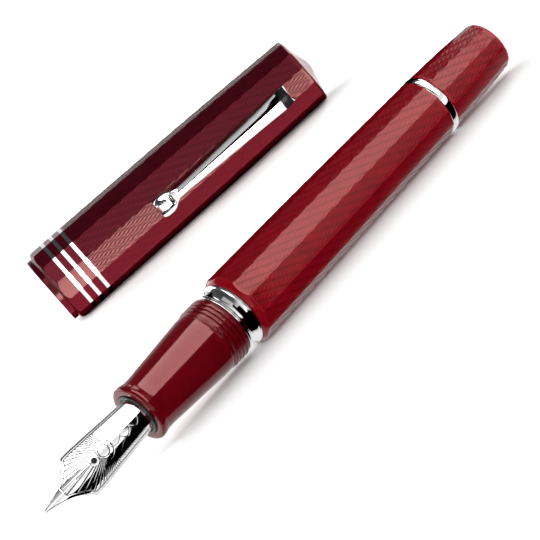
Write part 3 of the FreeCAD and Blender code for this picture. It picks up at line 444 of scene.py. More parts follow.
def knob_dome(x):
    return np.where(x < 69.9, 99.0, pchip(
        [69.9, 70.05, 70.5, 70.95, 71.25, 71.48, 71.58, 71.6],
        [5.45, 5.20, 4.88, 4.46, 3.92, 2.85, 1.2, 0.3], x))


knob = faceted_shell(
    "pen_knob", "pen", rows, smooth_line(KNOB, 3.0, rows),
    [(71.59, 0.05), (66.1, 0.05), (66.1, 1.93), (58.8, 1.93), (58.8, 3.48), (56.1, 3.48), (56.1, 5.2), (55.2, 5.2)],
    limit=lambda x: np.minimum(knob_dome(x), np.where(x < 55.45, 5.60 + (x - 55.2) * 1.2, 99.0)),
    cut_from=55.6, cut_to=70.2, per=max(24, PER - 8), depth=0.045)
paint(knob, M_CUT)
piece(knob, "knob", "red_resin", "piston_knob")

# ------------------------------------------------------------ section
L = -26.1
grip = [(L, 5.30), (L + 0.05, 5.45), (L + 0.20, 5.62), (L + 0.40, 5.72), (L + 0.62, 5.75), (L + 1.10, 5.70),
        (L + 1.90, 5.52), (-22.5, 5.45), (-21.0, 5.53), (-19.5, 5.62), (-16.4, 5.79), (-13.3, 5.99),
        (-10.3, 6.16), (-8.9, 6.24), (-7.9, 6.24)]
gx, gr = np.array(grip).T
xs = spaced((L, L + 1.2, 0.05), (L + 1.2, -7.9, 0.25))
profile = [(x, r) for x, r in zip(xs, pchip(gx, gr, xs))]
profile += [(-7.75, 6.22), (-7.68, 6.16), (-7.62, 6.12)]
profile += [(x, 6.12) for x in spaced((-7.55, -3.45, 0.045))]
profile += [(-3.42, 6.10), (-3.4, 6.06), (-3.4, 4.88), (8.0, 4.88), (8.0, 3.0), (-14.0, 3.0), (-14.0, 4.25),
            (L + 0.12, 4.25), (L + 0.02, 4.33), (L, 4.45)]
profile = rounded(profile, 1.4)


def grip_thread(x, th, r):
    start, end, pitch = -7.49, -3.50, 0.85
    phase = (x + 7.15 - pitch * th / TAU) / pitch
    gap = np.abs(phase - np.round(phase)) * pitch
    ridge = 0.30 * np.clip((0.34 - gap) / 0.20, 0, 1)
    fade = np.clip((x - start) / 0.35, 0, 1) * np.clip((end - x) / 0.35, 0, 1)
    return np.where((r > 6.0) & (r < 6.13) & (x > start) & (x < end), r + ridge * fade, r)


section = lathe("pen_section", profile, "pen", 192, 40.0, grip_thread)
# painted shade: the section gets the darker copy of the red resin
paint(section, M_PLAIN_SHADED_COPY)
piece(section, "pen", "red_resin", "section")

# ------------------------------------------------------------ band, tail ring, collar
B = 3.4


def bead(x0, side):
    return [(x0 + 0.28 * math.sin(t) * side * -1 + 0.0, 6.20 + 0.28 * math.cos(t)) for t in np.linspace(1.5, -1.5, 13)]


band_profile = [(0.02 - B, 4.93), (0.02 - B, 6.20)]
band_profile += [(-B + 0.31 - 0.28 * math.cos(t), 6.20 + 0.28 * math.sin(t)) for t in np.linspace(0.05, math.pi - 0.6, 12)]
band_profile += [(x, 5.93 + 0.30 * abs((x + 1.7) / 1.05) ** 2.6) for x in np.linspace(-2.72, -0.68, 27)]
band_profile += [(-0.31 + 0.28 * math.cos(t), 6.20 + 0.28 * math.sin(t)) for t in np.linspace(math.pi - 0.6, 0.05, 12)]
band_profile += [(-0.02, 6.20), (-0.02, 4.93)]
band = lathe("pen_band", rounded(band_profile, 0.5), "pen", 192, 42.0)
paint(band, M_TRIM)
piece(band, "pen", "bright_trim", "barrel_band")

ring_profile = [(53.63, 4.62), (53.63, 5.70)]
ring_profile += [(54.35 - 0.70 * math.cos(t), 5.72 + 0.28 * math.sin(t) ** 0.7) for t in np.linspace(0.06, math.pi - 0.06, 21)]
ring_profile += [(55.07, 5.70), (55.07, 4.62)]
tail_ring = lathe("pen_tail_ring", rounded(ring_profile, 0.5), "pen", 192, 42.0)
paint(tail_ring, M_TRIM)
piece(tail_ring, "pen", "bright_trim", "tail_ring")

collar = lathe("pen_collar", rounded([
    (-26.4, 3.68), (-26.4, 4.02), (-26.37, 4.12), (-26.30, 4.18), (-26.2, 4.20), (-14.05, 4.20), (-14.05, 1.2),
    (-15.0, 1.2), (-15.0, 3.68)], 1.2), "nib", 144, 40.0)
paint(collar, M_BLACK)
piece(collar, "pen", "black_plastic", "nib_collar")

# ------------------------------------------------------------ feed
feed_profile = [(-15.1, 0.02), (-15.1, 3.18), (-27.9, 3.18)]
for i in range(12):
    a = -28.0 - 0.78 * i
    feed_profile += [(a, 3.18 - 0.02 * i * 0.5), (a - 0.02, 2.18), (a - 0.30, 2.18), (a - 0.32, 3.18 - 0.02 * i * 0.5)]
feed_profile += [(-38.6, 2.76), (-40.0, 2.18), (-41.2, 1.62), (-42.0, 1.28), (-42.0, 0.02)]
feed = lathe("pen_feed", feed_profile, "nib", 96, 30.0)
paint(feed, M_BLACK)
piece(feed, "pen", "black_plastic", "feed")


# ------------------------------------------------------------ nib
def nib_engraving(d, y, half):
    """Generic rays that open forwards from behind the hole, inside a border."""
    cut = np.zeros_like(d)
    border = np.clip(half - 0.62, 0.05, 9)
    inside = (np.abs(y) < border - 0.03) & (d > 4.65)
    line = lambda t, w: np.clip(1.35 - np.abs(t) / w, 0, 1)
    # border that follows the edge from the square front to the rear
    edge = np.where((d > 4.6) & (d < 24.2), line(np.abs(y) - border, 0.085), 0)
    front = np.where(np.abs(y) < border, line(d - 4.6, 0.10), 0)
    cut = np.maximum(cut, np.maximum(edge, front))
    # rays
    dx, dy = 14.9 - d, np.abs(y)
    rad = np.hypot(dx, dy)
    ang = np.degrees(np.arctan2(dy, dx))
    step = 7.2
    near = np.abs(ang - (np.round(ang / step - 0.5) + 0.5) * step)
    ray = line(np.radians(near) * rad, 0.085)
    reach = (ang < 116) & (rad > 1.35) & inside & (np.hypot(HOLE_AT - d, dy) > 0.95)
    cut = np.maximum(cut, np.where(reach, ray, 0))
    # leaf shapes behind the rays
    for k, (cx, length, wide) in enumerate(((16.0, 3.2, 0.9), (18.8, 2.6, 1.3), (21.4, 2.2, 1.0))):
        t = (d - cx) / length
        body = wide * np.sin(np.clip(t, 0, 1) * math.pi) ** 0.8
        leaf = np.where((t > 0) & (t < 1), 0.6 * line(dy - body, 0.05), 0)
        cut = np.maximum(cut, np.where(inside, leaf, 0))
    arc = np.maximum(line(np.hypot(d - 14.9, dy) - 1.1, 0.08), (d > 14.9) * line(np.hypot(d - 14.9, dy) - 1.9, 0.08))
    cut = np.maximum(cut, np.where(inside, arc, 0))
    # short cross hatching between the border and the edge
    flank = (np.abs(y) > border + 0.12) & (np.abs(y) < half - 0.14) & (d > 10.6) & (d < 24.6)
    cut = np.maximum(cut, np.where(flank, 0.7 * line(((d + dy * 0.9) % 0.34) - 0.17, 0.05), 0))
    side = (dy > 2.3) & (dy < border - 0.1) & (d > 16.2) & (d < 24.0)
    cut = np.maximum(cut, np.where(side, 0.6 * line(((d - dy * 1.3) % 0.42) - 0.21, 0.05), 0))
    # a band along the nib's outer edge: painted edge shade through the darkened cut colour, with a slight sink of the
    # surface
    rim = np.clip(1.2 - (half - dy) / 0.15, 0, 1)
    return np.maximum(cut, 0.9 * rim)


def nib_half(side):
    d = np.unique(np.round(np.concatenate([
        spaced((0.0, 0.4, 0.04)), spaced((0.4, 26.6, 0.07)), spaced((26.6, 36.4, 1.4)),
        HOLE_AT + HOLE_R * np.cos(np.linspace(0, math.pi, 25))]), 5))
    half, radius, crest = (pchip(NIB[:, 0], NIB[:, i], d) for i in (1, 2, 3))
    # round the very tip off
    half = half * np.clip(np.sqrt(np.clip(1 - (1 - d / 0.22) ** 2, 0, 1)) * (d < 0.22) + (d >= 0.22), 0.62, 1)
    hole = np.sqrt(np.clip(HOLE_R ** 2 - (d - HOLE_AT) ** 2, 0, None))
    gap = np.where(d < HOLE_AT, SLIT / 2, 0.0)
    gap = np.where(np.abs(d - HOLE_AT) < HOLE_R, np.maximum(hole, gap), gap)
    n = 84
    t = np.linspace(0, 1, n)
    y = gap[:, None] + (half - gap)[:, None] * t[None, :]
    cut = nib_engraving(np.repeat(d[:, None], n, 1), y, half[:, None])
    soft = 0.05 * np.clip(1 - (1 - t) / 0.03, 0, 1)[None, :] ** 2
    ang = np.arcsin(np.clip(y / radius[:, None], 0, 0.9999))
    lift = 0.045 * cut + soft
    top_r = radius[:, None] - lift
    base = (crest - radius)[:, None]
    xs = np.repeat((NIB_TIP + d)[:, None], n, 1)
    top = np.stack([xs, side * top_r * np.sin(ang), base + top_r * np.cos(ang)], -1)
    low_r = np.repeat((radius - NIB_SHEET)[:, None], n, 1)
    low = np.stack([xs, side * low_r * np.sin(ang), base + low_r * np.cos(ang)], -1)
    co = np.concatenate([top.reshape(-1, 3), low.reshape(-1, 3)])
    m, N = len(d), len(d) * n
    i, j = np.meshgrid(np.arange(m - 1), np.arange(n - 1), indexing="ij")
    q = np.stack([i * n + j, i * n + j + 1, (i + 1) * n + j + 1, (i + 1) * n + j], -1).reshape(-1, 4)
    faces = [q[:, ::-1], q + N]
    i = np.arange(m - 1)
    outer = np.stack([i * n + n - 1, (i + 1) * n + n - 1, (i + 1) * n + n - 1 + N, i * n + n - 1 + N], -1)
    inner = np.stack([i * n, i * n + N, (i + 1) * n + N, (i + 1) * n], -1)
    j = np.arange(n - 1)
    front = np.stack([j, j + 1, j + 1 + N, j + N], -1)
    back = np.stack([(m - 1) * n + j, (m - 1) * n + j + N, (m - 1) * n + j + 1 + N, (m - 1) * n + j + 1], -1)
    open_rows = gap[:-1] + gap[1:] > 0
    faces += [outer[:, ::-1], inner[open_rows][:, ::-1], front[:, ::-1], back[:, ::-1]]
    faces = np.concatenate(faces)
    return co, (faces if side > 0 else faces[:, ::-1]), np.concatenate([cut.ravel(), np.zeros(N)])


ca, fa, ka = nib_half(1)
cb, fb, kb = nib_half(-1)
nib = mesh_object("pen_nib", np.concatenate([ca, cb]), np.concatenate([fa, fb + len(ca)]), "nib", 48.0, np.concatenate([ka, kb]))
import bmesh
bm = bmesh.new()
bm.from_mesh(nib.data)
bmesh.ops.remove_doubles(bm, verts=bm.verts, dist=1e-7)
bm.normal_update()
bm.to_mesh(nib.data)
bm.free()
nib.data.set_sharp_from_angle(angle=math.radians(48))
paint(nib, M_NIB)
piece(nib, "pen", "nib_metal", "nib")

# ------------------------------------------------------------ cap shell
rows = spaced((0.0, 0.12, 0.06), (0.12, 1.0, 0.22), (1.0, 2.1, 0.07), (2.1, 4.05, 0.4), (4.05, 4.07, 0.02), (4.79, 4.81, 0.02),
              (4.81, 6.07, 0.4), (6.07, 6.09, 0.02), (6.81, 6.83, 0.02), (6.83, 8.22, 0.4), (8.22, 8.24, 0.02),
              (8.96, 8.98, 0.02), (8.98, 55.28, STEP), (55.28, 55.30, 0.02), (55.30, 57.20, STEP),
              (57.20, 57.22, 0.02), (57.22, 61.78, STEP), (61.78, 61.9, 0.06))
GROOVES = ((4.06, 4.80), (6.08, 6.82), (8.23, 8.97))


def cap_limit(x):
    rim = np.where(x < 1.0, np.where(x < 0.12, 6.73 + x, 6.85), 99.0)
    shoulder = np.where((x >= 1.0) & (x < 2.1), pchip([1.0, 1.05, 1.17, 1.5, 2.0, 2.1], [6.85, 6.87, 7.10, 7.47, 7.69, 7.72], x), 99.0)
    return np.minimum(rim, shoulder)


def cap_mate(x, k, s, r):
    for a, b in GROOVES:
        r = np.where(((x >= a) & (x <= b))[:, None], 14.46 / 2 * C15 / np.cos(np.arctan(s * math.tan(math.radians(15))))[None, :], r)
    # window for the clip's foot, as wide as the facet
    window = ((x > 55.29) & (x < 57.21))[:, None] & ((k == 6) & (np.abs(s) < 0.985))[None, :]
    flat = 5.5 / np.cos(np.arctan(s * math.tan(math.radians(15))))
    return np.where(window, flat[None, :], r)


cap_inner = [(61.9, 5.2), (55.0, 5.2), (55.0, 5.80), (26.2, 5.80), (26.2, 6.1), (10.5, 6.1), (10.5, 6.55)]
cap_inner += [(x, 6.55) for x in np.linspace(10.3, 7.7, 4)]
cap_inner += [(x, 6.55) for x in np.linspace(7.6, 4.2, 70)]
cap_inner += [(4.0, 6.55), (0.15, 6.55), (0.0, 6.62)]
cap = faceted_shell("cap_body", "cap", rows, smooth_line(CAP, 7.0, rows), cap_inner, limit=cap_limit,
                    cut_from=9.15, cut_to=61.6, per=PER, mate=cap_mate)
# the thread inside the mouth
co = np.empty(len(cap.data.vertices) * 3, np.float32)
cap.data.vertices.foreach_get("co", co)
local = (co.reshape(-1, 3) * 1000 - T_CAP) @ R_CAP
rr, tt = np.hypot(local[:, 1], local[:, 2]), np.arctan2(local[:, 2], local[:, 1])
sel = (np.abs(rr - 6.55) < 0.004) & (local[:, 0] > 4.15) & (local[:, 0] < 7.65)
phase = (local[:, 0] - 4.6 - 0.85 * tt / TAU) / 0.85
gap = np.abs(phase - np.round(phase)) * 0.85
drop = 0.27 * np.clip((0.34 - gap) / 0.2, 0, 1) * np.clip((local[:, 0] - 4.2) / 0.3, 0, 1) * np.clip((7.6 - local[:, 0]) / 0.3, 0, 1)
new_r = np.where(sel, rr - drop, rr)
local[:, 1], local[:, 2] = new_r * np.cos(tt), new_r * np.sin(tt)
cap.data.vertices.foreach_set("co", ((local @ R_CAP.T + T_CAP) * 0.001).astype(np.float32).ravel())
# painted shade: the cap gets a darker copy of the red resin
paint(cap, M_CAP_SHADED_COPY)
piece(cap, "cap", "red_resin", "cap_shell")

# ------------------------------------------------------------ crown
k, s, th = facet_columns(8)
local = th - (k * TAU / 12 - math.pi / 2)
crown_rows = [(61.93, 13.74), (61.97, 13.70), (62.10, 13.52), (62.20, 13.30)]
crown_rows += [(62.20 + 1.38 * t, 13.30 - 10.9 * t - 0.25 * math.sin(math.pi * t)) for t in np.linspace(0.06, 1, 14)]
crown_rows += [(63.62, 2.0), (63.65, 1.2), (63.65, 0.02)]
crown_back = [(57.4, 0.02), (57.4, 5.15), (61.93, 5.15)]
xs, rs = [], []
for x, w in crown_rows:
    r = w / 2 * C15 / np.cos(local)
    r[np.isclose(np.abs(s), 1)] *= 0.996
    xs.append(np.full(len(th), x)); rs.append(r)
for x, r in crown_back:
    xs.append(np.full(len(th), x)); rs.append(np.full(len(th), r))
xs, rs = np.array(xs), np.array(rs)
crown = mesh_object("cap_top", np.stack([xs, rs * np.cos(th), rs * np.sin(th)], -1).reshape(-1, 3),
                    ring_faces(len(xs), len(th), True), "cap", 35.0)
# painted shade: the crown gets the darker copy of the red resin
paint(crown, M_PLAIN_SHADED_COPY)
piece(crown, "cap", "red_resin", "cap_crown")

# ------------------------------------------------------------ clip
at = spaced((28.4, 31.0, 0.2), (31.0, 54.4, 0.6), (54.4, 57.0, 0.12))
half, low, mid, top = (pchip(CLIP[:, 0], CLIP[:, i], at) for i in (1, 2, 3, 4))
loops = []
for a, h, lo_, m_, t_ in zip(at, half, low, mid, top):
    ridge = [(-h * 0.86, lo_), (h * 0.86, lo_), (h * 0.97, lo_ + 0.25 * (m_ - lo_)), (h, m_ - 0.12 * (m_ - lo_)),
             (h * 0.985, m_ + 0.03), (h * 0.72, m_ + 0.36 * (t_ - m_)), (h * 0.42, m_ + 0.70 * (t_ - m_)), (h * 0.13, m_ + 0.97 * (t_ - m_)),
             (0.0, t_), (-h * 0.13, m_ + 0.97 * (t_ - m_)), (-h * 0.42, m_ + 0.70 * (t_ - m_)), (-h * 0.72, m_ + 0.36 * (t_ - m_)),
             (-h * 0.985, m_ + 0.03), (-h, m_ - 0.12 * (m_ - lo_)), (-h * 0.97, lo_ + 0.25 * (m_ - lo_))]
    loops.append([(a, y, z) for y, z in ridge])
n = len(loops[0])
co = np.array(loops).reshape(-1, 3)
faces = [tuple(int(v) for v in q[::-1]) for q in ring_faces(len(loops), n, False)]
faces += [tuple(range(n)), tuple((len(loops) - 1) * n + i for i in range(n))[::-1]]
arm = mesh_object("clip_arm_raw", co, faces, "cap", 40.0)
at = spaced((24.70, 29.90, 0.1))
w_, h_, c_ = (pchip(CLIP_END[:, 0], CLIP_END[:, i], at) for i in (1, 2, 3))
n = 56
tt = np.arange(n) * TAU / n
front = [(24.62, 0.90), (24.60, 0.55), (24.60, 0.02)]
loops = [[(x, w_[0] * f * math.cos(t), c_[0] + h_[0] * f * math.sin(t)) for t in tt] for x, f in front[::-1]]
loops += [[(a, w * math.cos(t), c + h * math.sin(t)) for t in tt] for a, w, h, c in zip(at, w_, h_, c_)]
loops += [[(29.95, 0.02 * math.cos(t), 9.14 + 0.02 * math.sin(t)) for t in tt]]
co = np.array(loops).reshape(-1, 3)
co[:, 0] = np.maximum(co[:, 0], 24.70)
for i, (x, f) in enumerate(front[::-1]):
    co[i * n:(i + 1) * n, 0] = 24.70 + (x - 24.60) * 0.6
faces = [tuple(int(v) for v in q) for q in ring_faces(len(loops), n, False)]
faces += [tuple(range(n))[::-1], tuple((len(loops) - 1) * n + i for i in range(n))]
pill = mesh_object("clip_end_raw", co, faces, "cap", 40.0)


def box_mesh(name, lo, hi, where):
    c = [(x, y, z) for x in (lo[0], hi[0]) for y in (lo[1], hi[1]) for z in (lo[2], hi[2])]
    f = [(0, 1, 3, 2), (4, 6, 7, 5), (0, 4, 5, 1), (2, 3, 7, 6), (0, 2, 6, 4), (1, 5, 7, 3)]
    return mesh_object(name, np.array(c), f, where, 30.0)


foot = box_mesh("clip_foot_raw", (55.8, -1.55, 5.75), (56.7, 1.55, 7.75), "cap")
fork = box_mesh("clip_fork_raw", (23.6, -0.975, 6.9), (28.15, 0.975, 11.9), "cap")


def outward(o):
    b = bmesh.new()
    b.from_mesh(o.data)
    bmesh.ops.recalc_face_normals(b, faces=b.faces)
    b.to_mesh(o.data)
    b.free()


def combine(target, others):
    for op, tool in others:
        outward(tool)
        mod = target.modifiers.new("m", "BOOLEAN")
        mod.operation = op
        mod.object = tool
        mod.solver = "EXACT"
    dg = bpy.context.evaluated_depsgraph_get()
    dg.update()
    me = bpy.data.meshes.new_from_object(target.evaluated_get(dg))
    target.modifiers.clear()
    old = target.data
    target.data = me
    bpy.data.meshes.remove(old)
    for _, tool in others:
        bpy.data.objects.remove(tool)


outward(arm)
combine(arm, [("UNION", pill), ("UNION", foot), ("DIFFERENCE", fork)])
bev = arm.modifiers.new("b", "BEVEL")
bev.width = 0.00006
bev.segments = 2
bev.limit_method = "ANGLE"
bev.angle_limit = math.radians(55)
dg = bpy.context.evaluated_depsgraph_get()
dg.update()
me = bpy.data.meshes.new_from_object(arm.evaluated_get(dg))
arm.modifiers.clear()
arm.data = me
arm.name = "cap_clip"
me.polygons.foreach_set("use_smooth", np.ones(len(me.polygons), bool))
me.set_sharp_from_angle(angle=math.radians(38))
paint(arm, M_TRIM, M_RECESS_PAINTED_SHADE, M_ROOT_PAINTED_REFLECTION)
co = np.array([v.co[:] for v in me.vertices])
local = (co * 1000 - T_CAP) @ R_CAP
for f in me.polygons:
    mid_ = local[list(f.vertices)].mean(0)
    inside_ = np.abs(local[list(f.vertices)][:, 1]).max() < 0.99
    # faces inside the fork around the wheel take the painted shade
    if inside_ and mid_[0] < 28.2 and (abs(mid_[1]) > 0.95 or mid_[0] > 28.1):
        f.material_index = 1
    # the top of the clip's root, its last 2 mm, takes the painted dark reflection
    if 54.7 < mid_[0] < 56.75 and mid_[2] > 7.6 and abs(mid_[1]) < 1.8:
        f.material_index = 2
piece(arm, "clip_arm", "bright_trim", "clip")

# wheel, turned about the axis across the clip; its pin is the carried-over roller_pin node
WHEEL = to_world([(26.40, 0, 8.93)], "cap")[0]


def cross_lathe(name, profile, cols=96):
    p = np.array(profile, float)
    th = np.arange(cols) * TAU / cols
    a = np.repeat(p[:, 0][:, None], cols, 1)
    r = np.repeat(p[:, 1][:, None], cols, 1)
    co = np.stack([26.40 + r * np.cos(th), a, 8.93 + r * np.sin(th)], -1).reshape(-1, 3)
    o = mesh_object(name, co, ring_faces(len(p), cols, True), "cap", 35.0)
    outward(o)
    o.data.set_sharp_from_angle(angle=math.radians(35))
    return o


q = [(-0.775, 0.40), (-0.775, 1.40)]
q += [(-0.775 + 0.18 * (1 - math.cos(t)), 1.42 + 0.18 * math.sin(t)) for t in np.linspace(0.1, math.pi / 2, 7)]
q += [(0.0, 1.60)]
q += [(0.775 - 0.18 * (1 - math.cos(t)), 1.42 + 0.18 * math.sin(t)) for t in np.linspace(math.pi / 2, 0.1, 7)]
q += [(0.775, 1.40), (0.775, 0.40)]
wheel = cross_lathe("cap_clip_wheel", q)
paint(wheel, M_TRIM)
piece(wheel, "roller", "bright_trim", "clip_roller")

# ------------------------------------------------------------ carried-over nodes
KEEP = {
    "nib_tipping": M_TIP, "piston_guide": M_BRASS, "guide_seal": M_RUBBER, "piston_spindle": M_BRASS,
    "spindle_clip": M_STEEL, "piston_rod": M_LINER, "piston_head": M_LINER, "piston_seals": M_RUBBER,
    "cap_ring_1": M_TRIM, "cap_ring_2": M_TRIM, "cap_ring_3": M_TRIM, "inner_cap": M_LINER,
    "clip_screw": M_STEEL, "roller_pin": M_STEEL}
for name, material in KEEP.items():
    paint(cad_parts[name], material)

# ------------------------------------------------------------ floor
fm, nt, sh = new_material("floor_paper")
grain = texture(nt, "ShaderNodeTexNoise", Scale=1.0, Detail=3.0)
nt.links.new(coords(nt, 60.0), grain.inputs["Vector"])
nt.links.new(ramp(nt, grain.outputs["Fac"], [(0.3, (0.80, 0.80, 0.80)), (0.7, (0.83, 0.83, 0.83))]), sh.inputs["Base Color"])
sh.inputs["Roughness"].default_value = 0.9
sh.inputs["Specular IOR Level"].default_value = 0.1
me = bpy.data.meshes.new("floor")
me.from_pydata([(-30, -30, -0.00002), (30, -30, -0.00002), (30, 30, -0.00002), (-30, 30, -0.00002)], [], [(0, 1, 2, 3)])
me.materials.append(fm)
floor = bpy.data.objects.new("floor", me)
bpy.context.scene.collection.objects.link(floor)


# ------------------------------------------------------------ light
CENTRE = Vector((-0.56605294, -1.21473722, 0.31673305))
RIGHT = Vector((0.61503967, -0.45086228, -0.64687666))
UP = Vector((0.67289663, -0.12752455, 0.72866152))
AHEAD = Vector((0.41101865, 0.88343687, -0.22495105))


def softbox(name, direction, distance, size, radiance, target=(0.0, 0.05, 0.0)):
    """A panel of the given brightness, facing the pen."""
    light = bpy.data.lights.new(name, "AREA")
    light.shape = "RECTANGLE"
    light.size, light.size_y = size
    light.energy = radiance * math.pi * size[0] * size[1]
    o = bpy.data.objects.new(name, light)
    d = Vector(direction).normalized()
    o.location = Vector(target) + d * distance
    o.rotation_euler = d.to_track_quat("Z", "Y").to_euler()
    o.visible_camera = False
    bpy.context.scene.collection.objects.link(o)
    return o


def along_pen(name, tilt, reach, width, radiance):
    """A panel mirrored by the round pieces where their surface leans up by
    tilt degrees, and for half of reach to each side of it, in straight bands."""
    f = math.radians(tilt)
    n_ = Vector((0.0, -math.cos(f), math.sin(f)))
    d = (AHEAD - 2 * AHEAD.dot(n_) * n_).normalized()
    o = softbox(name, d, 1.3, (width, 2.6 * math.tan(math.radians(reach))), radiance)
    x = (Vector((1, 0, 0)) - d.x * d).normalized()
    o.rotation_euler = Matrix((x, d.cross(x), d)).transposed().to_euler()
    return o


def only_for(light, objects):
    """The panel lights these objects and nothing else."""
    group = bpy.data.collections.new(light.name + "_lit")
    for o in objects:
        group.objects.link(o)
    light.light_linking.receiver_collection = group


def card(name, corners, radiance, grey=0.0, tint=(1.0, 1.0, 1.0)):
    """A reflector or black flag on the table that only reflections see."""
    m = bpy.data.materials.new(name)
    m.use_nodes = True
    t = m.node_tree
    t.nodes.clear()
    o_ = t.nodes.new("ShaderNodeOutputMaterial")
    e_ = t.nodes.new("ShaderNodeEmission")
    e_.inputs["Color"].default_value = tuple(tint) + (1,) if radiance else (grey, grey, grey, 1)
    e_.inputs["Strength"].default_value = radiance if radiance else 1.0
    t.links.new(e_.outputs[0], o_.inputs[0])
    me_ = bpy.data.meshes.new(name)
    me_.from_pydata([tuple(v * 0.001 for v in c) for c in corners], [], [(0, 1, 2, 3)])
    me_.materials.append(m)
    o = bpy.data.objects.new(name, me_)
    bpy.context.scene.collection.objects.link(o)
    for flag in ("visible_camera", "visible_diffuse", "visible_transmission", "visible_volume_scatter", "visible_shadow"):
        setattr(o, flag, False)
    return o


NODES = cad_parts
BRIGHT = [nib, band, tail_ring, arm, wheel] + [NODES[n_] for n_ in ("cap_ring_1", "cap_ring_2", "cap_ring_3", "nib_tipping")]
DULL = [barrel, knob, section, collar, feed, cap, crown] + [NODES[n_] for n_ in KEEP if NODES[n_] not in BRIGHT]
REST = [o for o in BRIGHT + DULL if o not in (section, band)] + [floor]
only_for(softbox("front", (0.44, -0.66, 0.62), 1.3, (0.60, 1.05), 5.2), REST)
only_for(along_pen("grip_key", 34.5, 35.0, 0.5, 6.6), [section])
only_for(along_pen("band_grey", 35.0, 20.0, 0.6, 0.40), [band])
for name_, way, far, size, floor_light, metal_light, dull_light in (
        ("left", (-0.90, 0.10, 0.42), 1.4, (0.9, 0.9), 9.0, 3.2, 3.5),
        ("back", (-0.25, 0.90, 0.50), 1.5, (1.3, 0.8), 9.0, 3.6, 2.0),
        ("right_back", (0.85, 0.45, 0.50), 1.4, (0.6, 0.6), 7.0, 3.2, 3.0)):
    only_for(softbox(name_ + "_floor", way, far, size, floor_light), [floor])
    only_for(softbox(name_ + "_metal", way, far, size, metal_light), [o for o in BRIGHT if o is not arm or name_ != "right_back"])
    only_for(softbox(name_ + "_dull", way, far, size, dull_light), DULL)
only_for(softbox("right_top", (0.74, 0.12, 0.66), 1.4, (0.50, 0.60), 3.2), DULL)
RINGS = [NODES["cap_ring_%d" % i] for i in (1, 2, 3)]
only_for(softbox("clip_top", (0.45, -0.15, 0.88), 1.2, (1.1, 1.2), 4.5), [arm])
only_for(softbox("metal_top", (0.45, -0.15, 0.88), 1.2, (1.1, 1.2), 2.2), [o for o in BRIGHT if o not in RINGS + [arm, band]])
only_for(softbox("ring_front", (-0.318, -0.605, 0.732), 1.2, (0.6, 0.5), 2.0), RINGS)
cap_front = softbox("cap_front", (-0.318, -0.605, 0.732), 1.2, (0.6, 0.5), 2.6)
cap_front.data.color = (1.0, 0.36, 0.55)
only_for(cap_front, [cap])
floor_fill = softbox("floor_fill", (0.0, 0.0, 1.0), 2.0, (2.0, 2.0), 0.85)
floor_fill.data.use_shadow = False
only_for(floor_fill, [floor])


def strip(name, p, q, near, far, radiance, z=0.02, tint=(1.0, 1.0, 1.0)):
    """A card along the line p to q, from near to far on its front side."""
    p, q = np.array(p, float), np.array(q, float)
    d = (q - p) / np.linalg.norm(q - p)
    n_ = np.array([d[1], -d[0]])
    pts = [p + n_ * near, q + n_ * near, q + n_ * far, p + n_ * far]
    return card(name, [(v[0], v[1], z) for v in pts], radiance, tint=tint)


card("flag_nib", [(-80, -5.2, 0.02), (-44, -5.2, 0.02), (-32, -30, 0.02), (-68, -30, 0.02)], 0.0)
card("flag_grip", [(-44, -5.2, 0.02), (-8, -5.2, 0.02), (9, -40, 0.02), (-27, -40, 0.02)], 0.0)
strip("flag_barrel", (-14, 0), (80, 0), 5.2, 22.0, 0.0)
strip("bounce_pen", (-80, 0), (80, 0), 0.2, 4.6, 0.9)
cap_a = (T_CAP + R_CAP @ np.array([-20.0, 0, 0]))[:2]
cap_b = (T_CAP + R_CAP @ np.array([90.0, 0, 0]))[:2]
strip("flag_cap", cap_a, cap_b, 0.0, 16.0, 0.0)


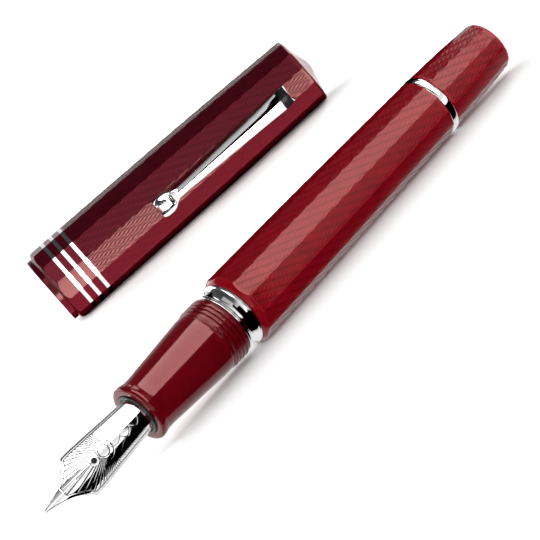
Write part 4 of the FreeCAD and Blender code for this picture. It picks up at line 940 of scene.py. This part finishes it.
def table_panel(name, near, far, radiance, colour, objects):
    """A panel lying beside the cap and shining up at these objects only."""
    o = softbox(name, (0, 0, 1), 1.0, (0.110, (far - near) * 0.001), radiance)
    d = (cap_b - cap_a) / np.linalg.norm(cap_b - cap_a)
    c = (cap_a + cap_b) / 2 + np.array([d[1], -d[0]]) * (near + far) / 2
    o.location = (c[0] * 0.001, c[1] * 0.001, 0.0003)
    o.rotation_euler = (math.pi, 0.0, math.atan2(d[1], d[0]))
    o.data.color = colour
    only_for(o, objects)


table_panel("cap_near_red", 4.6, 16.0, 2.2, (1.0, 0.22, 0.34), [cap])
table_panel("cap_near_white", 4.6, 16.0, 1.2, (1.0, 1.0, 1.0), RINGS + [arm, wheel])
strip("bounce_cap", cap_a, cap_b, 18.0, 55.0, 11.0, tint=(1.0, 0.92, 0.90))
card("flag_grip_front", [(-27, -40, 0.0), (11, -40, 0.0), (11, -40, 21), (-27, -40, 21)], 0.0)
card("flag_band_front", [(1, -40, 20.5), (11, -40, 20.5), (11, -40, 34), (1, -40, 34)], 0.0)
card("flag_behind", [(-6, 12, 11), (62, 12, 11), (62, 12, 32), (-6, 12, 32)], 0.0)

world = bpy.data.worlds.new("studio")
bpy.context.scene.world = world
world.use_nodes = True
nt = world.node_tree
nt.nodes.clear()
out = nt.nodes.new("ShaderNodeOutputWorld")
bg = nt.nodes.new("ShaderNodeBackground")
nt.links.new(bg.outputs[0], out.inputs[0])
tc = nt.nodes.new("ShaderNodeTexCoord")
sep = nt.nodes.new("ShaderNodeSeparateXYZ")
nt.links.new(tc.outputs["Generated"], sep.inputs[0])
sky = ramp(nt, sep.outputs["Z"], [(0.0, (0.95, 0.95, 0.95)), (0.30, (0.80, 0.80, 0.80)), (0.62, (0.12, 0.12, 0.12)), (1.0, (0.05, 0.05, 0.05))])
nt.links.new(sky, bg.inputs["Color"])
bg.inputs["Strength"].default_value = 1.0

# ------------------------------------------------------------ camera
cam_data = bpy.data.cameras.new("camera")
cam_data.sensor_width = 36.0
cam_data.lens = 8000.0 / 540.0 * 36.0
cam_data.clip_start, cam_data.clip_end = 0.05, 200.0
cam_data.dof.use_dof = False
camera = bpy.data.objects.new("camera", cam_data)
bpy.context.scene.collection.objects.link(camera)
turn = Matrix((RIGHT, UP, -AHEAD)).transposed().to_4x4()
camera.matrix_world = Matrix.Translation(CENTRE) @ turn
bpy.context.scene.camera = camera
bpy.context.scene.view_settings.view_transform = "Standard"
bpy.context.scene.view_settings.look = "None"
